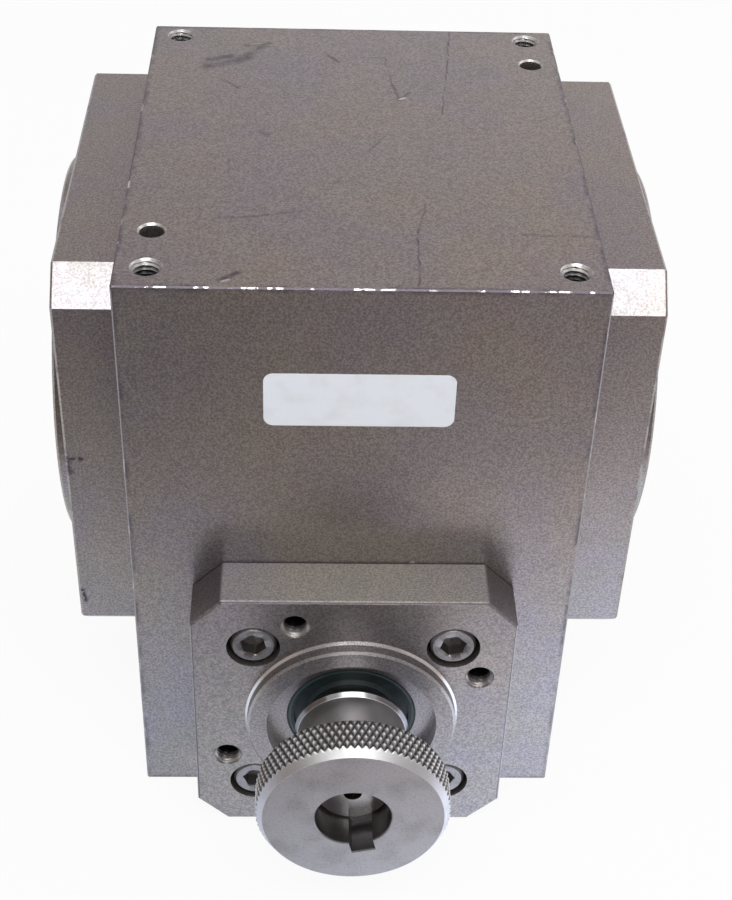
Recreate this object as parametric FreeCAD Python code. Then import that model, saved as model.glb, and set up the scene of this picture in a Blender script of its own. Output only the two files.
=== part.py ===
import FreeCAD, Part
import math
import os

# Right-angle worm gearhead for a servo motor, in millimetres.
# The origin is the middle of the hollow output shaft. +X runs along that shaft, the input
# faces -Y, and +Z is up. The worm shaft crosses below the output shaft, along Y.

Vector = FreeCAD.Vector
ORIGIN = Vector(0, 0, 0)
X_AXIS = Vector(1, 0, 0)
Y_AXIS = Vector(0, 1, 0)
Z_AXIS = Vector(0, 0, 1)

# Hourglass worm and throated gear
centre_distance = 50.8
worm_pitch_radius = 12.0
gear_teeth = 30
worm_starts = 3
thread_addendum = 1.9
thread_dedendum = 2.3
thread_flank_angle = 20.0
thread_backlash = 0.3
thread_wrap = 25.0
thread_runout = 5.0
thread_step = 2.0
flank_clearance = 0.12
tip_clearance = 0.6
mesh_samples = 40
cut_overrun = 1.0
gear_crown = 1.7
gear_land = 1.5
gear_rim_wall = 2.1
gear_flange_thickness = 8.0
gear_flange_gap = 0.2
gear_bolt_count = 8
gear_bolt_margin = 0.5
gear_bolt_grip = 6.5

# Block
block_width = 95.25
cover_side_margin = 9.55
cover_top_margin = 4.9
flange_bottom_margin = 0.35
block_edge_break = 0.3
edge_break = 0.5
gear_chamber_clearance = 2.25
worm_chamber_clearance = 2.1

# Holes in the top of the block
top_hole_from_side = 6.35
top_hole_from_front = 6.9
top_hole_from_back = 5.2
top_hole_depth = 16.0
hole_countersink = 0.25
dowel_radius = 2.5
dowel_countersink = 0.4
dowel_from_front = 20.4
dowel_from_back = 18.0
dowel_depth = 8.5

# Fits and fasteners
fit_clearance = 0.02
touch_tolerance = 1e-6
screw_clearance = 0.3
screw_thread_radius = 3.0
screw_head_share = 5 / 3
screw_core_share = 0.82
counterbore_clearance = 0.75
counterbore_margin = 0.55
screw_grip = 15.0
tapped_hole_extra = 3.0
shim_thickness = 0.4

# Output covers
cover_standout = 13.425
cover_rim = 3.8
cover_chamfer = 6.7
cover_screw_from_edge = 7.75
cover_web = 1.4
cover_spigot_setback = 2.5
output_pilot_setback = 1.25
output_pilot_height = 2.6

# Output shaft, its seals and its bearings
output_bore_radius = 16.0
output_shaft_wall = 6.25
output_key_width = 10.0
output_key_depth = 3.3
output_end_recess = 0.65
output_end_chamfer = 0.8
output_shoulder_step = 3.4
output_seal_section = 7.935
output_seal_width = 6.35
output_bearing_step = 0.375
output_bearing_section = 14.1
output_bearing_width = 19.5
output_bearing_cup_width = 15.5
output_roller_diameter = 6.5
output_roller_length = 12.0
output_roller_count = 16

# Worm shaft and its bearings
worm_journal_step = 1.5
worm_shoulder_step = 3.3
worm_end_overhang = 1.0
worm_bearing_section = 13.1
worm_bearing_width = 15.5
worm_bearing_cup_width = 12.0
worm_bearing_inset = 2.3
worm_roller_diameter = 5.8
worm_roller_length = 9.5
worm_roller_count = 11

# Shared by all bearings and seals
roller_angle = 13.0
roller_running_gap = 0.15
cone_rib_share = 0.6
cone_lip_share = 0.3
cone_back_setback = 1.0
cage_thickness = 1.0
cage_margin = 1.5
seal_recess = 0.4
seal_lip_gap = 0.08
seal_wall = 1.6

# Input flange and rear cap
flange_size = 69.3
flange_chamfer = 6.7
flange_standout = 12.4
flange_bolt_circle_radius = 30.2
flange_tapped_angle = 24.5
input_pilot_wall = 4.25
input_pilot_height = 3.0
input_pilot_foot = 0.6
input_recess_land = 4.375
input_recess_depth = 3.6
input_seal_section = 4.75
input_seal_width = 6.35
input_seal_shoulder = 1.75
bearing_relief_wall = 5.62
rear_cap_standout = 9.5
rear_cap_wall = 5.0

# Input hub, key and set screw
hub_gap = 0.8
hub_length = 24.7
hub_bore_radius = 8.0
hub_boss_wall = 3.75
hub_collar_step = 0.9
hub_collar_width = 0.4
hub_rim_radius = 20.5
hub_rim_width = 9.1
hub_rim_chamfer = 1.5
shaft_end_recess = 6.8
shaft_end_chamfer = 0.6
centre_hole_radius = 1.95
centre_hole_depth = 6.0
input_key_width = 5.0
input_key_angle = 13.5
input_key_front_gap = 1.2
input_key_back_gap = 3.2
set_screw_radius = 2.4
set_screw_recess = 0.4

# Oil plugs in the back of the block
plug_radius = 4.9
plug_length = 8.0
plug_above_cap = 7.25
upper_plug_height = 30.0
plug_socket_width = 5.0
plug_socket_depth = 5.0

# Worm pair, worked out
worm_centre = Vector(0, 0, -centre_distance)
speed_ratio = gear_teeth / worm_starts
tooth_pitch = 2 * math.pi / gear_teeth
gear_pitch_radius = centre_distance - worm_pitch_radius
thread_tip = gear_pitch_radius - thread_addendum
thread_root = gear_pitch_radius + thread_dedendum
thread_half_width = math.pi * gear_pitch_radius / gear_teeth / 2 - thread_backlash / 2
worm_waist_radius = centre_distance - thread_root
worm_shoulder_radius = worm_waist_radius + worm_shoulder_step
worm_end_radius = centre_distance - thread_tip * math.cos(math.radians(thread_wrap))
gear_throat_radius = worm_waist_radius + tip_clearance
gear_outer_radius = centre_distance - gear_throat_radius + gear_crown
gear_throat_half_width = math.sqrt(gear_throat_radius ** 2 - (gear_throat_radius - gear_crown) ** 2)
gear_half_width = gear_throat_half_width + gear_land
gear_rim_inner_radius = thread_tip - tip_clearance - gear_rim_wall

# Block and covers, worked out
gear_chamber_radius = gear_outer_radius + gear_chamber_clearance
worm_chamber_radius = worm_end_radius + worm_chamber_clearance
cover_size = 2 * (gear_chamber_radius + cover_rim)
block_depth = cover_size + 2 * cover_side_margin
block_above_output = cover_size / 2 + cover_top_margin
block_below_output = centre_distance + flange_size / 2 + flange_bottom_margin
side_face = block_width / 2
front_face = block_depth / 2
cover_outer_face = side_face + cover_standout
cover_screw_offset = cover_size / 2 - cover_screw_from_edge
output_pilot_radius = gear_chamber_radius - output_pilot_setback
output_pilot_face = cover_outer_face + output_pilot_height
screw_head_height = 2 * screw_thread_radius
counterbore_radius = screw_head_share * screw_thread_radius + counterbore_clearance
counterbore_depth = screw_head_height + counterbore_margin

# Output shaft, worked out
output_shaft_half_length = output_pilot_face - output_end_recess
output_journal_radius = output_bore_radius + output_shaft_wall
output_seal_radius = output_journal_radius + output_seal_section
output_bearing_bore = output_journal_radius + output_bearing_step
output_bearing_outer = output_bearing_bore + output_bearing_section
output_shoulder_radius = output_bearing_bore + output_shoulder_step
output_seal_seat = output_pilot_face - seal_recess - output_seal_width
output_cup_back = output_seal_seat - cover_web
output_bearing_seat = output_cup_back - output_bearing_width
cover_spigot_end = output_bearing_seat + cover_spigot_setback
gear_bolt_circle_radius = (output_shoulder_radius + gear_rim_inner_radius) / 2
gear_bolt_room = gear_rim_inner_radius - output_shoulder_radius - 2 * gear_bolt_margin
gear_bolt_radius = gear_bolt_room / 2 / screw_head_share

# Input side, worked out
worm_journal_radius = hub_bore_radius + worm_journal_step
worm_bearing_outer = worm_journal_radius + worm_bearing_section
worm_cup_back = front_face - worm_bearing_inset
worm_bearing_seat = worm_cup_back - worm_bearing_width
worm_rear_end = worm_cup_back + worm_end_overhang
bearing_relief_radius = worm_bearing_outer - bearing_relief_wall
flange_outer_face = front_face + flange_standout
flange_screw_offset = flange_bolt_circle_radius / math.sqrt(2)
rear_cap_outer_face = front_face + rear_cap_standout
input_seal_radius = worm_journal_radius + input_seal_section
input_recess_radius = input_seal_radius + input_recess_land
input_pilot_radius = input_recess_radius + input_pilot_wall
input_pilot_face = flange_outer_face + input_pilot_height
input_seal_front = input_pilot_face - input_recess_depth
hub_rear_face = input_pilot_face + hub_gap
hub_front_face = hub_rear_face + hub_length
hub_rim_back = hub_front_face - hub_rim_width
hub_boss_radius = hub_bore_radius + hub_boss_wall
shaft_end = hub_front_face - shaft_end_recess
input_key_front = shaft_end - input_key_front_gap
input_key_length = input_key_front - hub_rear_face - input_key_back_gap
set_screw_place = (hub_rear_face + hub_rim_back) / 2
set_screw_length = hub_boss_wall - set_screw_recess
lower_plug_height = flange_size / 2 - centre_distance + plug_above_cap + plug_radius


def ring_of(along, radius, direction, centre):
    """Point at a distance along an axis and a radius above it."""
    return centre + direction * along + Z_AXIS * radius


def polygon_face(points):
    """Flat face inside a closed row of points."""
    return Part.Face(Part.makePolygon(points + points[:1]))


def turned(corners, direction, centre=ORIGIN):
    """Solid of revolution of (along, radius) corners about an axis."""
    points = [ring_of(along, radius, direction, centre) for along, radius in corners]
    return polygon_face(points).revolve(centre, direction, 360)


def drilled(radius, start, direction, depth):
    """Plain round hole or pin."""
    return Part.makeCylinder(radius, depth, start, direction)


def chamfered_face(size, chamfer, start, direction):
    """Flat square with chamfered corners, across a direction."""
    half = size / 2
    flat = half - chamfer
    corners = [(flat, half), (half, flat), (half, -flat), (flat, -half)]
    corners += [(-a, -b) for a, b in corners]
    across = Z_AXIS.cross(direction)
    return polygon_face([start + across * a + Z_AXIS * b for a, b in corners])


def chamfered_square(size, chamfer, start, direction, thickness):
    """Square plate with chamfered corners and broken edges on its outer face."""
    plate = chamfered_face(size, chamfer, start, direction).extrude(direction * thickness)
    outer = (start + direction * thickness).dot(direction)
    rim = []
    for edge in plate.Edges:
        if all(abs(v.Point.dot(direction) - outer) < touch_tolerance for v in edge.Vertexes):
            rim.append(edge)
    return plate.makeChamfer(edge_break, rim)


def hexagon_socket(width, depth, top, inward):
    """Hexagonal prism that sinks into a fastener's head."""
    across = X_AXIS if abs(inward.dot(X_AXIS)) < 0.5 else Y_AXIS
    upright = inward.cross(across)
    corner = width / math.sqrt(3)
    points = []
    for step in range(6):
        angle = math.pi / 3 * step
        points.append(top + across * (corner * math.cos(angle)) + upright * (corner * math.sin(angle)))
    return polygon_face(points).extrude(inward * depth)


def cap_screw(seat, inward, thread_radius, shank, grip):
    """Socket head cap screw on its seat: a full shank, then the thread at the size of its core."""
    height = 2 * thread_radius
    head_radius = screw_head_share * thread_radius
    core_radius = screw_core_share * thread_radius
    full_radius = thread_radius - fit_clearance
    profile = [(-height, 0), (-height, head_radius), (0, head_radius), (0, full_radius)]
    profile += [(shank, full_radius), (shank, core_radius), (shank + grip, core_radius), (shank + grip, 0)]
    upright = Z_AXIS if abs(inward.dot(Z_AXIS)) < 0.5 else X_AXIS
    points = [seat + inward * along + upright * radius for along, radius in profile]
    body = polygon_face(points).revolve(seat, inward, 360)
    return body.cut(hexagon_socket(head_radius, thread_radius, seat - inward * height, inward))


def core_hole(mouth, inward, thread_radius, depth):
    """Hole that holds the threaded end of a screw."""
    return drilled(screw_core_share * thread_radius + fit_clearance, mouth, inward, depth)


def open_hole(plate, radius, countersink, mouth, inward, depth):
    """Round hole with a countersunk mouth."""
    plate = plate.cut(drilled(radius, mouth, inward, depth))
    return plate.cut(Part.makeCone(radius + countersink, radius, countersink, mouth, inward))


def tapped_hole(plate, mouth, inward, depth):
    """Open tapped hole at the size of its thread's outside."""
    return open_hole(plate, screw_thread_radius, hole_countersink, mouth, inward, depth)


def corner_points(offset, centre, direction):
    """Four corners of a square round a centre, across a direction."""
    across = Z_AXIS.cross(direction)
    signs = [(1, 1), (1, -1), (-1, -1), (-1, 1)]
    return [centre + across * (offset * a) + Z_AXIS * (offset * b) for a, b in signs]


def screw_holes(plate, offset, centre, direction, outer, inner):
    """Counterbored clearance holes through a plate at the corners of a square."""
    for corner in corner_points(offset, centre, direction):
        top = corner + direction * outer
        plate = plate.cut(drilled(counterbore_radius, top, -direction, counterbore_depth))
        plate = plate.cut(drilled(screw_thread_radius + screw_clearance, top, -direction, outer - inner))
    return plate


def corner_screws(offset, centre, direction, outer, block_face):
    """Cap screws of a plate, as a group of separate solids that reach into the block."""
    seat = outer - counterbore_depth
    screws = []
    for corner in corner_points(offset, centre, direction):
        place = corner + direction * seat
        screws.append(cap_screw(place, -direction, screw_thread_radius, seat - block_face, screw_grip))
    return Part.makeCompound(screws)


def block_screw_holes(block, offset, centre, direction, block_face):
    """Holes in the block that take a plate's corner screws."""
    depth = screw_grip + tapped_hole_extra
    for corner in corner_points(offset, centre, direction):
        block = block.cut(core_hole(corner + direction * block_face, -direction, screw_thread_radius, depth))
    return block


def shim(size, chamfer, start, direction, hole_radius, screw_offset):
    """Thin chamfered square shim with one large hole and four screw holes."""
    sheet = chamfered_face(size, chamfer, start, direction).extrude(direction * shim_thickness)
    sheet = sheet.cut(drilled(hole_radius, start, direction, shim_thickness))
    for corner in corner_points(screw_offset, start, direction):
        sheet = sheet.cut(drilled(screw_thread_radius + screw_clearance, corner, direction, shim_thickness))
    return sheet


def make_housing():
    """Block with the gear chamber across it, the worm bore along it and all its holes."""
    corner = Vector(-side_face, -front_face, -block_below_output)
    block = Part.makeBox(block_width, block_depth, block_above_output + block_below_output, corner)
    block = block.makeChamfer(block_edge_break, block.Edges)
    block = block.cut(drilled(gear_chamber_radius, X_AXIS * -side_face, X_AXIS, block_width))
    block = block.cut(drilled(worm_chamber_radius, worm_centre - Y_AXIS * front_face, Y_AXIS, block_depth))
    bearing_bore = worm_bearing_outer + fit_clearance
    for direction in (Y_AXIS, -Y_AXIS):
        mouth = worm_centre + direction * front_face
        block = block.cut(drilled(bearing_bore, mouth, -direction, front_face - worm_bearing_seat))
        block = block_screw_holes(block, flange_screw_offset, worm_centre, direction, front_face)
    for direction in (X_AXIS, -X_AXIS):
        block = block_screw_holes(block, cover_screw_offset, ORIGIN, direction, side_face)
    hole_x = side_face - top_hole_from_side
    front_y = top_hole_from_front - front_face
    back_y = front_face - top_hole_from_back
    for x, y in ((hole_x, back_y), (hole_x, front_y), (-hole_x, front_y), (-hole_x, back_y)):
        block = tapped_hole(block, Vector(x, y, block_above_output), -Z_AXIS, top_hole_depth)
    for x, y in ((-hole_x, dowel_from_front - front_face), (hole_x, front_face - dowel_from_back)):
        mouth = Vector(x, y, block_above_output)
        block = open_hole(block, dowel_radius, dowel_countersink, mouth, -Z_AXIS, dowel_depth)
    for height in (upper_plug_height, lower_plug_height):
        mouth = Vector(0, front_face, height)
        block = block.cut(drilled(plug_radius + fit_clearance, mouth, -Y_AXIS, front_face))
    return block


def make_oil_plugs():
    """Socket pipe plugs, just below the back face of the block."""
    plugs = []
    for height in (upper_plug_height, lower_plug_height):
        mouth = Vector(0, front_face - edge_break, height)
        plug = drilled(plug_radius, mouth, -Y_AXIS, plug_length)
        plugs.append(plug.cut(hexagon_socket(plug_socket_width, plug_socket_depth, mouth, -Y_AXIS)))
    return Part.makeCompound(plugs)


def make_output_cover(direction):
    """Square cover with pilot and spigot that carries a bearing cup and a seal."""
    inner = side_face + shim_thickness
    cover = chamfered_square(cover_size, cover_chamfer, direction * inner, direction, cover_outer_face - inner)
    spigot_radius = gear_chamber_radius - fit_clearance
    boss = [(cover_spigot_end, 0), (cover_spigot_end, spigot_radius), (inner, spigot_radius)]
    boss += [(inner, output_pilot_radius), (output_pilot_face - edge_break, output_pilot_radius)]
    boss += [(output_pilot_face, output_pilot_radius - edge_break), (output_pilot_face, 0)]
    cover = cover.fuse(turned(boss, direction))
    lip_radius = output_seal_radius - seal_wall
    cup_radius = output_bearing_outer + fit_clearance
    seal_bore = output_seal_radius + fit_clearance
    hole = [(cover_spigot_end, 0), (cover_spigot_end, cup_radius), (output_cup_back, cup_radius)]
    hole += [(output_cup_back, lip_radius), (output_seal_seat, lip_radius), (output_seal_seat, seal_bore)]
    hole += [(output_pilot_face, seal_bore), (output_pilot_face, 0)]
    cover = cover.cut(turned(hole, direction))
    return screw_holes(cover, cover_screw_offset, ORIGIN, direction, cover_outer_face, inner)


def make_seal(front, width, outer_radius, shaft_radius, direction, centre):
    """Lip seal: a rubber-covered case whose lip reaches the shaft, with a dust groove in front."""
    lip = shaft_radius + seal_lip_gap
    dish = (outer_radius - shaft_radius) / 3
    back = front - width
    section = [(front, outer_radius), (front, outer_radius - dish), (front - dish / 2, outer_radius - dish)]
    section += [(front - dish / 2, lip + dish / 2), (front, lip), (front - dish, lip)]
    section += [(back + seal_wall, lip + seal_wall), (back + seal_wall, outer_radius - seal_wall)]
    section += [(back, outer_radius - seal_wall), (back, outer_radius)]
    return turned(section, direction, centre)


def make_output_shaft():
    """Hollow shaft with a gear flange, bearing seats, seal journals and a keyway."""
    half = output_shaft_half_length
    seat_end = output_cup_back + fit_clearance
    end = [(half, output_bore_radius), (half, output_journal_radius - output_end_chamfer)]
    end += [(half - output_end_chamfer, output_journal_radius), (seat_end, output_journal_radius)]
    end += [(seat_end, output_bearing_bore), (output_bearing_seat, output_bearing_bore)]
    end += [(output_bearing_seat, output_shoulder_radius)]
    flange_radius = gear_rim_inner_radius - gear_flange_gap
    middle = [(0, output_shoulder_radius), (0, flange_radius), (-gear_flange_thickness, flange_radius)]
    middle += [(-gear_flange_thickness, output_shoulder_radius)]
    other_end = [(-along, radius) for along, radius in reversed(end)]
    shaft = turned(end + middle + other_end, X_AXIS)
    depth = output_bore_radius + output_key_depth
    keyway = Part.makeBox(2 * half, output_key_width, depth, Vector(-half, -output_key_width / 2, 0))
    shaft = shaft.cut(keyway)
    for point in gear_bolt_points(0):
        shaft = shaft.cut(core_hole(point, -X_AXIS, gear_bolt_radius, gear_flange_thickness))
    return shaft


def gear_bolt_points(along):
    """Places of the gear bolts round the output shaft."""
    points = []
    for step in range(gear_bolt_count):
        angle = 2 * math.pi * step / gear_bolt_count
        across = Y_AXIS * math.cos(angle) + Z_AXIS * math.sin(angle)
        points.append(X_AXIS * along + across * gear_bolt_circle_radius)
    return points


def make_gear_bolts():
    """Cap screws that clamp the gear to the shaft's flange."""
    bolts = []
    for point in gear_bolt_points(gear_half_width):
        bolts.append(cap_screw(point, -X_AXIS, gear_bolt_radius, gear_half_width, gear_bolt_grip))
    return Part.makeCompound(bolts)


def thread_half(reach):
    """Half width of the worm thread at a distance from the gear's axis, in the plane of the worm's axis."""
    return thread_half_width + (reach - gear_pitch_radius) * math.tan(math.radians(thread_flank_angle))


def thread_half_angle(reach):
    """The same half width as an angle seen from the gear's axis."""
    slope = math.radians(thread_flank_angle)
    offset = thread_half_width * math.cos(slope) - gear_pitch_radius * math.sin(slope)
    return slope + math.asin(offset / reach)


def thread_section(start, turn):
    """Trapezoid of the thread where its middle stands at an angle on the gear; it fades at both ends."""
    fade = (thread_wrap - abs(math.degrees(turn))) / thread_runout
    share = min(1.0, max(0.0, fade))
    tip = thread_root - (thread_root - thread_tip) * share + tip_clearance * (1 - share)
    foot = thread_root + 2 * tip_clearance
    around = (turn - start * tooth_pitch) * speed_ratio
    points = []
    for reach, side in ((tip, -1), (tip, 1), (foot, 1), (foot, -1)):
        wide = side * thread_half(reach)
        radius = centre_distance - reach * math.cos(turn) + wide * math.sin(turn)
        along = reach * math.sin(turn) + wide * math.cos(turn)
        points.append(Vector(radius * math.sin(around), along, radius * math.cos(around) - centre_distance))
    return Part.makePolygon(points + points[:1])


def make_worm_shaft():
    """Shaft turned with an hourglass waist, wound with the worm's threads, keyed at its input end."""
    waist = math.sqrt(thread_root ** 2 - (centre_distance - worm_shoulder_radius) ** 2)
    rear = [(waist, worm_shoulder_radius), (worm_bearing_seat, worm_shoulder_radius)]
    rear += [(worm_bearing_seat, worm_journal_radius), (worm_rear_end, worm_journal_radius), (worm_rear_end, 0)]
    tip = -shaft_end
    front = [(tip, 0), (tip, hub_bore_radius - shaft_end_chamfer), (tip + shaft_end_chamfer, hub_bore_radius)]
    front += [(-hub_rear_face, hub_bore_radius), (-hub_rear_face, worm_journal_radius)]
    front += [(-worm_bearing_seat, worm_journal_radius), (-worm_bearing_seat, worm_shoulder_radius)]
    front += [(-waist, worm_shoulder_radius)]
    start = [ring_of(a, r, Y_AXIS, worm_centre) for a, r in front]
    end = [ring_of(a, r, Y_AXIS, worm_centre) for a, r in rear]
    throat = ring_of(0, worm_waist_radius, Y_AXIS, worm_centre)
    curve = Part.Arc(start[-1], throat, end[0]).toShape()
    outline = Part.Wire(Part.makePolygon(start).Edges + [curve] + Part.makePolygon(end + start[:1]).Edges)
    shaft = Part.Face(outline).revolve(worm_centre, Y_AXIS, 360)
    steps = round(2 * thread_wrap / thread_step)
    turns = [math.radians(thread_wrap * (2 * step / steps - 1)) for step in range(steps + 1)]
    for begin in range(worm_starts):
        sections = [thread_section(begin, turn) for turn in turns]
        shaft = shaft.fuse(Part.makeLoft(sections, True, False))
    mouth = worm_centre - Y_AXIS * shaft_end
    shaft = shaft.cut(drilled(centre_hole_radius, mouth, Y_AXIS, centre_hole_depth))
    return shaft.cut(input_key_bar(input_key_front, input_key_length, fit_clearance))


def gap_limits(plane, radius):
    """Angles between which the worm's threads sweep through the gear, at a plane across its axis.

    A point of the gear is followed through the mesh. Where it meets the thread's half plane
    round the worm, the thread's flanks stand at known angles from the gear's axis.
    """
    low = []
    high = []
    for step in range(-mesh_samples, mesh_samples + 1):
        turn = math.radians(thread_wrap) * step / mesh_samples
        above = centre_distance - radius * math.cos(turn)
        around = math.atan2(plane, above)
        inward = centre_distance - math.hypot(plane, above)
        reach = math.hypot(inward, radius * math.sin(turn))
        drift = math.atan2(radius * math.sin(turn), inward) - turn - around / speed_ratio
        low.append(-drift - thread_half_angle(reach))
        high.append(-drift + thread_half_angle(reach))
    return min(low), max(high)


def gap_section(plane):
    """Outline of one tooth gap at a plane across the gear's axis."""
    sweep = centre_distance - thread_tip + tip_clearance
    bottom = centre_distance - math.sqrt(sweep ** 2 - plane ** 2)
    top = gear_outer_radius + cut_overrun
    lower = []
    upper = []
    for radius in (bottom, (bottom + top) / 2, top):
        low, high = gap_limits(plane, radius)
        lower.append((radius, low - flank_clearance / radius))
        upper.append((radius, high + flank_clearance / radius))
    outline = lower + upper[::-1]
    points = [Vector(plane, r * math.sin(angle), -r * math.cos(angle)) for r, angle in outline]
    return Part.makePolygon(points + points[:1])


def make_worm_gear():
    """Bronze ring with a throat round the worm and gaps cut as the worm's threads sweep them."""
    half = gear_half_width
    mouth = gear_throat_half_width
    bore = output_shoulder_radius + fit_clearance
    corners = [(mouth, gear_outer_radius), (half, gear_outer_radius), (half, bore), (0, bore)]
    corners += [(0, gear_rim_inner_radius), (-half, gear_rim_inner_radius)]
    corners += [(-half, gear_outer_radius), (-mouth, gear_outer_radius)]
    points = [ring_of(a, r, X_AXIS, ORIGIN) for a, r in corners]
    bottom = ring_of(0, centre_distance - gear_throat_radius, X_AXIS, ORIGIN)
    curve = Part.Arc(points[-1], bottom, points[0]).toShape()
    gear = Part.Face(Part.Wire(Part.makePolygon(points).Edges + [curve])).revolve(ORIGIN, X_AXIS, 360)
    reach = half + cut_overrun
    gap = Part.makeLoft([gap_section(reach * step / 2) for step in range(-2, 3)], True, False)
    gaps = []
    for tooth in range(gear_teeth):
        copy = gap.copy()
        copy.rotate(ORIGIN, X_AXIS, math.degrees(tooth_pitch) * tooth)
        gaps.append(copy)
    gear = gear.cut(gaps)
    for point in gear_bolt_points(0):
        gear = gear.cut(drilled(gear_bolt_radius + screw_clearance / 2, point, X_AXIS, half))
    return gear


class TaperBearing:
    """Tapered roller bearing whose raceways and rollers share one apex on its axis."""

    def __init__(self, bore, section, width, cup_width, roller_diameter, roller_length, count):
        self.bore = bore
        self.outer = bore + section
        self.width = width
        self.cup_width = cup_width
        self.count = count
        self.tilt = math.radians(roller_angle)
        self.middle = width - cup_width / 2 - (width - cup_width) / 4
        pitch_radius = bore + section / 2
        self.apex = pitch_radius / math.tan(self.tilt)
        self.slant = pitch_radius / math.sin(self.tilt)
        self.flare = math.asin(roller_diameter / 2 / self.slant)
        self.roller_radius = roller_diameter / 2
        self.roller_length = roller_length
        lean = self.roller_radius * math.sin(self.tilt)
        half = roller_length / 2 * math.cos(self.tilt)
        self.large_end = self.middle - half - lean
        self.small_end = self.middle + half - lean

    def radius_at(self, along, angle):
        return (self.apex - (along - self.middle)) * math.tan(angle)

    def cup(self, seat, direction):
        angle = self.tilt + self.flare
        front = self.width - self.cup_width
        corners = [(front, self.outer), (self.width, self.outer)]
        corners += [(along, self.radius_at(along, angle)) for along in (self.width, front)]
        return turned(corners, direction, seat)

    def cone(self, seat, direction):
        angle = self.tilt - self.flare
        start = self.large_end - 2 * roller_running_gap
        end = self.small_end + 2 * roller_running_gap
        back = self.width - cone_back_setback
        rib = self.radius_at(start, angle) + cone_rib_share * self.roller_radius
        lip = self.radius_at(end, angle) + cone_lip_share * self.roller_radius
        corners = [(0, self.bore), (0, rib), (start, rib), (start, self.radius_at(start, angle))]
        corners += [(end, self.radius_at(end, angle)), (end, lip), (back, lip), (back, self.bore)]
        return turned(corners, direction, seat)

    def roller_set(self, seat, direction, extra_radius, extra_length):
        """Rollers as separate solids; the extras make the pockets that hold them."""
        length = self.roller_length + extra_length
        across = Z_AXIS.cross(direction)
        rollers = []
        for step in range(self.count):
            angle = 2 * math.pi * step / self.count
            outward = across * math.cos(angle) + Z_AXIS * math.sin(angle)
            axis = direction * math.cos(self.tilt) - outward * math.sin(self.tilt)
            far = self.slant + length / 2
            near = self.slant - length / 2
            large = far * math.tan(self.flare) + extra_radius
            small = near * math.tan(self.flare) + extra_radius
            start = seat + direction * (self.middle + self.apex) - axis * far
            rollers.append(Part.makeCone(large, small, length, start, axis))
        return rollers

    def rollers(self, seat, direction):
        return Part.makeCompound(self.roller_set(seat, direction, -roller_running_gap, 0))

    def cage(self, seat, direction):
        """Conical shell with a pocket for each roller."""
        angle = self.tilt + self.flare / 3
        half = self.roller_length / 2 * math.cos(self.tilt) + cage_margin
        thick = cage_thickness / 2
        corners = []
        for along, side in ((-half, thick), (half, thick), (half, -thick), (-half, -thick)):
            place = self.middle + along
            corners.append((place, self.radius_at(place, angle) + side))
        shell = turned(corners, direction, seat)
        return shell.cut(self.roller_set(seat, direction, 0, 2 * roller_running_gap))


def make_input_flange():
    """Square flange with a pilot, a recessed seal and a spigot that holds the front bearing cup."""
    outward = -Y_AXIS
    inner = front_face + shim_thickness
    start = worm_centre + outward * inner
    flange = chamfered_square(flange_size, flange_chamfer, start, outward, flange_outer_face - inner)
    spigot_radius = worm_bearing_outer - fit_clearance
    boss = [(worm_cup_back, 0), (worm_cup_back, spigot_radius), (inner, spigot_radius)]
    foot_radius = input_pilot_radius + input_pilot_foot
    boss += [(inner, foot_radius), (flange_outer_face, foot_radius)]
    boss += [(flange_outer_face + input_pilot_foot, input_pilot_radius)]
    boss += [(input_pilot_face - edge_break, input_pilot_radius)]
    boss += [(input_pilot_face, input_pilot_radius - edge_break), (input_pilot_face, 0)]
    flange = flange.fuse(turned(boss, outward, worm_centre))
    seal_back = input_seal_front - input_seal_width
    lip_radius = input_seal_radius - input_seal_shoulder
    relief_end = seal_back - input_seal_shoulder
    seal_bore = input_seal_radius + fit_clearance
    hole = [(worm_cup_back, 0), (worm_cup_back, bearing_relief_radius), (relief_end, bearing_relief_radius)]
    hole += [(relief_end, lip_radius), (seal_back, lip_radius), (seal_back, seal_bore)]
    hole += [(input_seal_front, seal_bore), (input_seal_front, input_recess_radius)]
    hole += [(input_pilot_face, input_recess_radius), (input_pilot_face, 0)]
    flange = flange.cut(turned(hole, outward, worm_centre))
    flange = screw_holes(flange, flange_screw_offset, worm_centre, outward, flange_outer_face, inner)
    for quarter in range(4):
        angle = math.radians(flange_tapped_angle + 90 * quarter)
        across = X_AXIS * math.cos(angle) + Z_AXIS * math.sin(angle)
        mouth = worm_centre + outward * flange_outer_face + across * flange_bolt_circle_radius
        flange = tapped_hole(flange, mouth, Y_AXIS, flange_outer_face - inner)
    return flange


def make_rear_cap():
    """Square cap that closes the back of the worm bore and holds the rear bearing cup."""
    inner = front_face + shim_thickness
    outer = rear_cap_outer_face
    cap = chamfered_square(flange_size, flange_chamfer, worm_centre + Y_AXIS * inner, Y_AXIS, outer - inner)
    spigot_radius = worm_bearing_outer - fit_clearance
    seat = worm_centre + Y_AXIS * worm_cup_back
    cap = cap.fuse(drilled(spigot_radius, seat, Y_AXIS, inner - worm_cup_back))
    cap = cap.cut(drilled(bearing_relief_radius, seat, Y_AXIS, outer - rear_cap_wall - worm_cup_back))
    return screw_holes(cap, flange_screw_offset, worm_centre, Y_AXIS, outer, inner)


def key_direction():
    """The way the input key points from the shaft's axis: nearly straight down."""
    angle = math.radians(input_key_angle)
    return X_AXIS * math.sin(angle) - Z_AXIS * math.cos(angle)


def input_key_bar(front, length, clearance):
    """Bar of the key's section in the place where shaft and hub share it."""
    wide = input_key_width + 2 * clearance
    low = hub_bore_radius - input_key_width / 2 - clearance
    corner = Vector(-wide / 2, -front - clearance, -low - wide)
    bar = Part.makeBox(wide, length + 2 * clearance, wide, corner)
    bar.rotate(ORIGIN, Y_AXIS, -input_key_angle)
    bar.translate(worm_centre)
    return bar


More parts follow.
